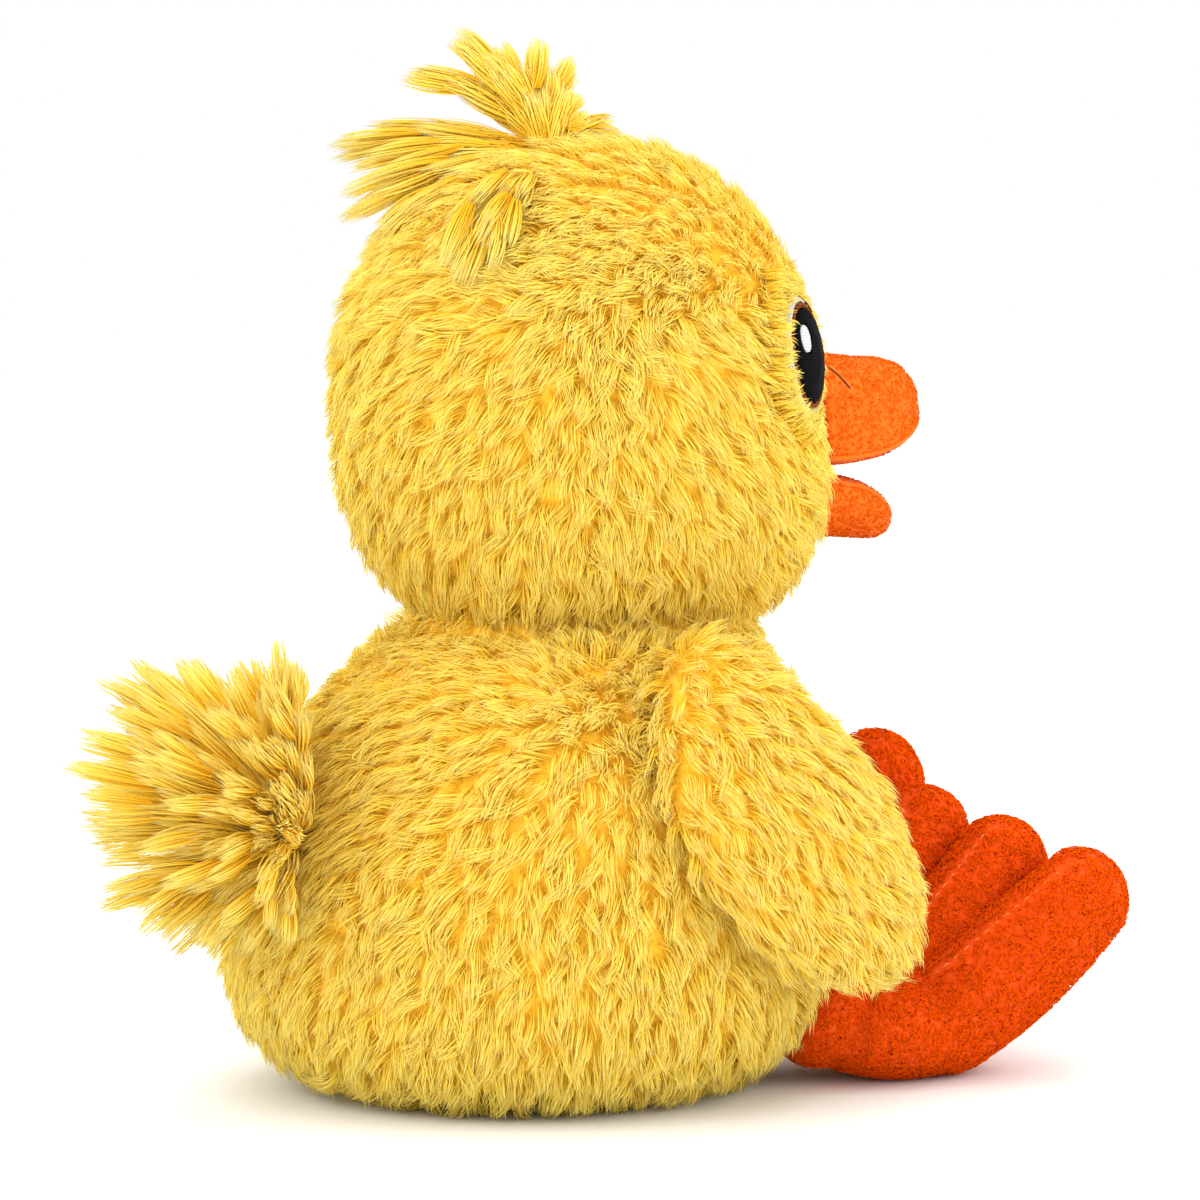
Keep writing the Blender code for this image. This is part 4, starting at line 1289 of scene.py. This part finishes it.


# Short pile from root to tip: darker at the root and lighter at the tip, partly the cloth's own
# colour, partly painted shade between the curls and painted highlight on them.
FLEECE_STOPS = (
    (0.0, (0.76, 0.055, 0.001)),
    (0.5, (0.83, 0.085, 0.001)),
    (1.0, (0.88, 0.12, 0.002)),
)
VELOUR_STOPS = (
    (0.0, (0.86, 0.10, 0.002)),
    (0.5, (0.92, 0.14, 0.003)),
    (1.0, (0.96, 0.18, 0.005)),
)
RED_SHIFTS = ((0.0, (0.92, 0.85, 0.8)), (0.5, (1.0, 1.0, 1.0)), (1.0, (1.0, 1.0, 1.0)))
FINE = (1500.0, 0.5)  # scale and depth of a cloth's grain
THREADY = (3000.0, 0.3, 0.6, 0.1)
FLEECE_COLOURS = ((0.84, 0.065, 0.001), (0.92, 0.10, 0.002))
VELOUR_COLOURS = ((0.93, 0.13, 0.003), (0.98, 0.18, 0.006))
fleece_pile = pile("fleece_pile", FLEECE_STOPS, RED_SHIFTS, 0.0), "fleece_orange"
velour_pile = pile("velour_pile", VELOUR_STOPS, RED_SHIFTS, 0.0), "velour_orange"
fleece_cloth, velour_cloth, lining_cloth, thread, dark_thread = (
    (cloth(name, colours, *finish), slot)
    for name, colours, finish, slot in (
        ("fleece_orange", FLEECE_COLOURS, (900.0, 0.6, 0.9, 0.0), "fleece_orange"),
        ("velour_orange", VELOUR_COLOURS, (*FINE, 0.9, 0.0), "velour_orange"),
        ("mouth_lining", ((0.80, 0.12, 0.006), (0.88, 0.17, 0.01)), FINE, "velour_orange"),
        ("thread", ((0.90, 0.16, 0.01), (1.0, 0.24, 0.02)), THREADY, "fleece_orange"),
        ("dark_thread", ((0.10, 0.02, 0.005), (0.16, 0.04, 0.008)), THREADY, "velour_orange"),
    )
)

# How far the pile curls and rises, how wide its strands are, and what it is
FLEECE = (1.8, 0.75, 0.17, fleece_pile)
NAP = (0.9, 0.35, 0.12, velour_pile)

# The feet's places and angles, repeated from the part
ANKLES = {"left": (47.376, -75.534, 25.0), "right": (-46.615, -59.693, 18.6)}
TOE_IN = {"left": math.radians(17), "right": math.radians(8)}
FOOT_LIFT = {"left": math.radians(6), "right": 0.0}
FOOT_ROLL = math.radians(12)

TOES = (-1, 0, 1)
TOE_ROOT, TOE_TIP = (14.0, -30.0, -0.5), (28.5, -61.0, 35.0)  # of an outer toe's middle line

# The sole's edge from an ankle, as y and z: level, round its bend, then up to the toes
BEND_AT, BEND_HEIGHT, BEND_RADIUS = -22.0, 9.4, 24.0
SLOPE_AT, SLOPE_HEIGHT = -38.97, -7.57
SOLE_LINE = [(y, BEND_HEIGHT - BEND_RADIUS) for y in np.linspace(2.0, BEND_AT, 16)]
SOLE_LINE += [
    (BEND_AT - BEND_RADIUS * math.sin(at), BEND_HEIGHT - BEND_RADIUS * math.cos(at))
    for at in np.radians(np.linspace(3, 45, 14))
]
SOLE_LINE += [(SLOPE_AT - run, SLOPE_HEIGHT + run) for run in np.linspace(1.5, 36.0, 30)]
SOLE_LINE = bowed(np.array([(0.0, y, z + 0.3) for y, z in SOLE_LINE]))
FOOT_VOXEL, BILL_VOXEL, EYE_VOXEL = 0.9, 0.6, 0.3
BILL_ROOT = -56.0

for label, side in WING_SIDES.items():
    body = f"foot_{label}"
    ankle = Vector(ANKLES[label])
    turn = Euler((-FOOT_LIFT[label], side * FOOT_ROLL, -side * TOE_IN[label])).to_matrix()
    heel, instep = ankle + turn @ Vector((0, 4, 0)), ankle + turn @ Vector((0, -14, 0))
    joined = ("torso", body, tuple(heel * MM), tuple(instep * MM))

    def swell(mesh, ankle=ankle, turn=turn):
        swell_sole(mesh, ankle, turn)

    upper = rebuilt(
        f"upper_{label}", [f"foot_upper_{label}", f"ankle_{label}"], FOOT_VOXEL, 10, fleece_cloth,
        joined, 1.07, swell,
    )
    sole = rebuilt(
        f"sole_{label}", [f"foot_sole_{label}"], FOOT_VOXEL, 8, fleece_cloth, body, alter=swell
    )
    lines = []
    for rank in TOES:
        root, tip = (
            Vector((side * rank * across, along, up)) for across, along, up in (TOE_ROOT, TOE_TIP)
        )
        starts = [ankle + turn @ root.lerp(tip, share) for share in np.linspace(0.12, 1.08, 60)]
        aims = [turn @ Vector((0, 0.75, 0.66))] * len(starts)
        line, normals = on_surface(upper, starts, aims)
        lines.append(line)
        stitches(f"toe_stitch_{label}_{rank + 1}", line, normals, thread, body)
    fleece(f"upper_pile_{label}", upper, 0.82, *FLEECE, joined, lines)
    for edge in (1, -1):
        starts = [ankle + turn @ Vector((edge * 80.0, y, z)) for _, y, z in SOLE_LINE]
        aims = [turn @ Vector((-edge, 0, 0))] * len(starts)
        line, normals = on_surface(upper, starts, aims)
        tube(f"sole_edge_{label}_{edge + 1}", line, 1.1, fleece_cloth, body)
    fleece(f"sole_pile_{label}", sole, 0.9, *FLEECE, body)

BILL = {
    "bill_upper": ("head", velour_cloth),
    "bill_palate": ("head", lining_cloth),
    "bill_lower": ("lower_bill", velour_cloth),
    "mouth_floor": ("lower_bill", lining_cloth),
}
bill = {
    part: rebuilt(f"{part}_cover", [part], BILL_VOXEL, 16, stuff, body)
    for part, (body, stuff) in BILL.items()
}
lines = []
for side in (1, -1):
    angles = np.radians(np.linspace(18, 52, 24))
    starts = from_head(rows(0.0, np.linspace(-61.0, -70.0, 24), 60.0))
    aims = rows(side * np.sin(angles), 0.0, np.cos(angles)) @ HEAD_SPIN.T
    line, normals = on_surface(bill["bill_upper"], starts, aims)
    lines.append(line)
    tube(f"nostril_{side + 1}", line + normals * 0.1, 0.3, dark_thread, "head")
for part, (body, _) in BILL.items():
    fleece(f"{part}_nap", bill[part], 0.8, *NAP, body, lines if part == "bill_upper" else ())
RIM_INSET = 0.7  # how far a rim's middle lies in from the bill's edge
around = np.linspace(0.1, math.pi - 0.1, 60)
ahead = np.sin(around)
for name, body, length, wide, height, curl in (
    ("upper_rim", "head", 45.0, 25.0, MOUTH_HEIGHT + 3.2, 11.0),
    ("lower_rim", "lower_bill", 37.0, 20.0, MOUTH_HEIGHT - 3.2, -11.0),
):
    along = BILL_ROOT - (length - RIM_INSET) * ahead
    rim = rows((wide - RIM_INSET) * np.cos(around), along, height + curl * ahead**3)
    tube(name, from_head(rim), 0.65, velour_cloth, body, 10)

# Eyes


def satin(name, dark, light, rough, specular):
    """Close satin stitching, glossy along its threads."""
    made, tree, shader = nodes_of(name, rough, specular=specular)
    wave = add(tree, "TexWave", Scale=420.0, Distortion=1.5, Detail=1.0)
    wave.wave_type = "BANDS"
    wave.bands_direction = "Z"
    textured(tree, shader, wave, ((0.1, dark), (0.9, light)), 0.35, 0.0002)
    return made


eye_stuffs = {
    "white": (satin("eye_white", (0.44, 0.45, 0.47), (0.54, 0.55, 0.57), 0.5, 0.05), "eye_white"),
    "iris": (satin("eye_brown", (0.12, 0.026, 0.006), (0.24, 0.06, 0.014), 0.6, 0.01), "eye_brown"),
    "pupil": (
        satin("eye_black", (0.002, 0.002, 0.002), (0.005, 0.005, 0.006), 0.4, 0.008), "eye_black"
    ),
    "glint": (satin("eye_glint", (0.52, 0.53, 0.57), (0.60, 0.61, 0.65), 0.5, 0.05), "eye_white"),
}
LID_SHARE = 0.94  # how far out on the white patch its dark upper edge runs
around = np.radians(np.linspace(128.0, -30.0, 40))
bearing = EYE_BEARING - LID_SHARE * np.cos(around) * EYE_HALF_WIDTH / HEAD_WIDTH
height = EYE_HEIGHT + LID_SHARE * np.sin(around) * EYE_HALF_HEIGHT

for label, side in WING_SIDES.items():
    patches = {}
    for part, stuff in eye_stuffs.items():
        patches[part] = rebuilt(
            f"{part}_patch_{label}", [f"eye_{part}_{label}"], EYE_VOXEL, 4, stuff, "head"
        )
    starts = from_head(rows(0.0, 0.0, height))
    aims = rows(side * np.sin(bearing), -np.cos(bearing), 0.0) @ HEAD_SPIN.T
    line, normals = on_surface(patches["white"], starts, aims)
    tube(f"lid_line_{label}", line + normals * 0.1, 0.6, eye_stuffs["pupil"], "head")

# Pellet pouch


def pouch(u, inset=0.0):
    low, high = (np.array(corner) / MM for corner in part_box("pellet_pouch"))
    lumpy = 1.0 - 0.02 * (1.0 + np.sin(u[:, 0:1] * 9.0) * np.cos(u[:, 1:2] * 8.0))
    return (low + high) / 2 + u * lumpy * ((high - low) / 2 - inset)


lump("pouch", pouch, pouch_cloth, "torso", ["pellet_pouch"], inset=0.4)
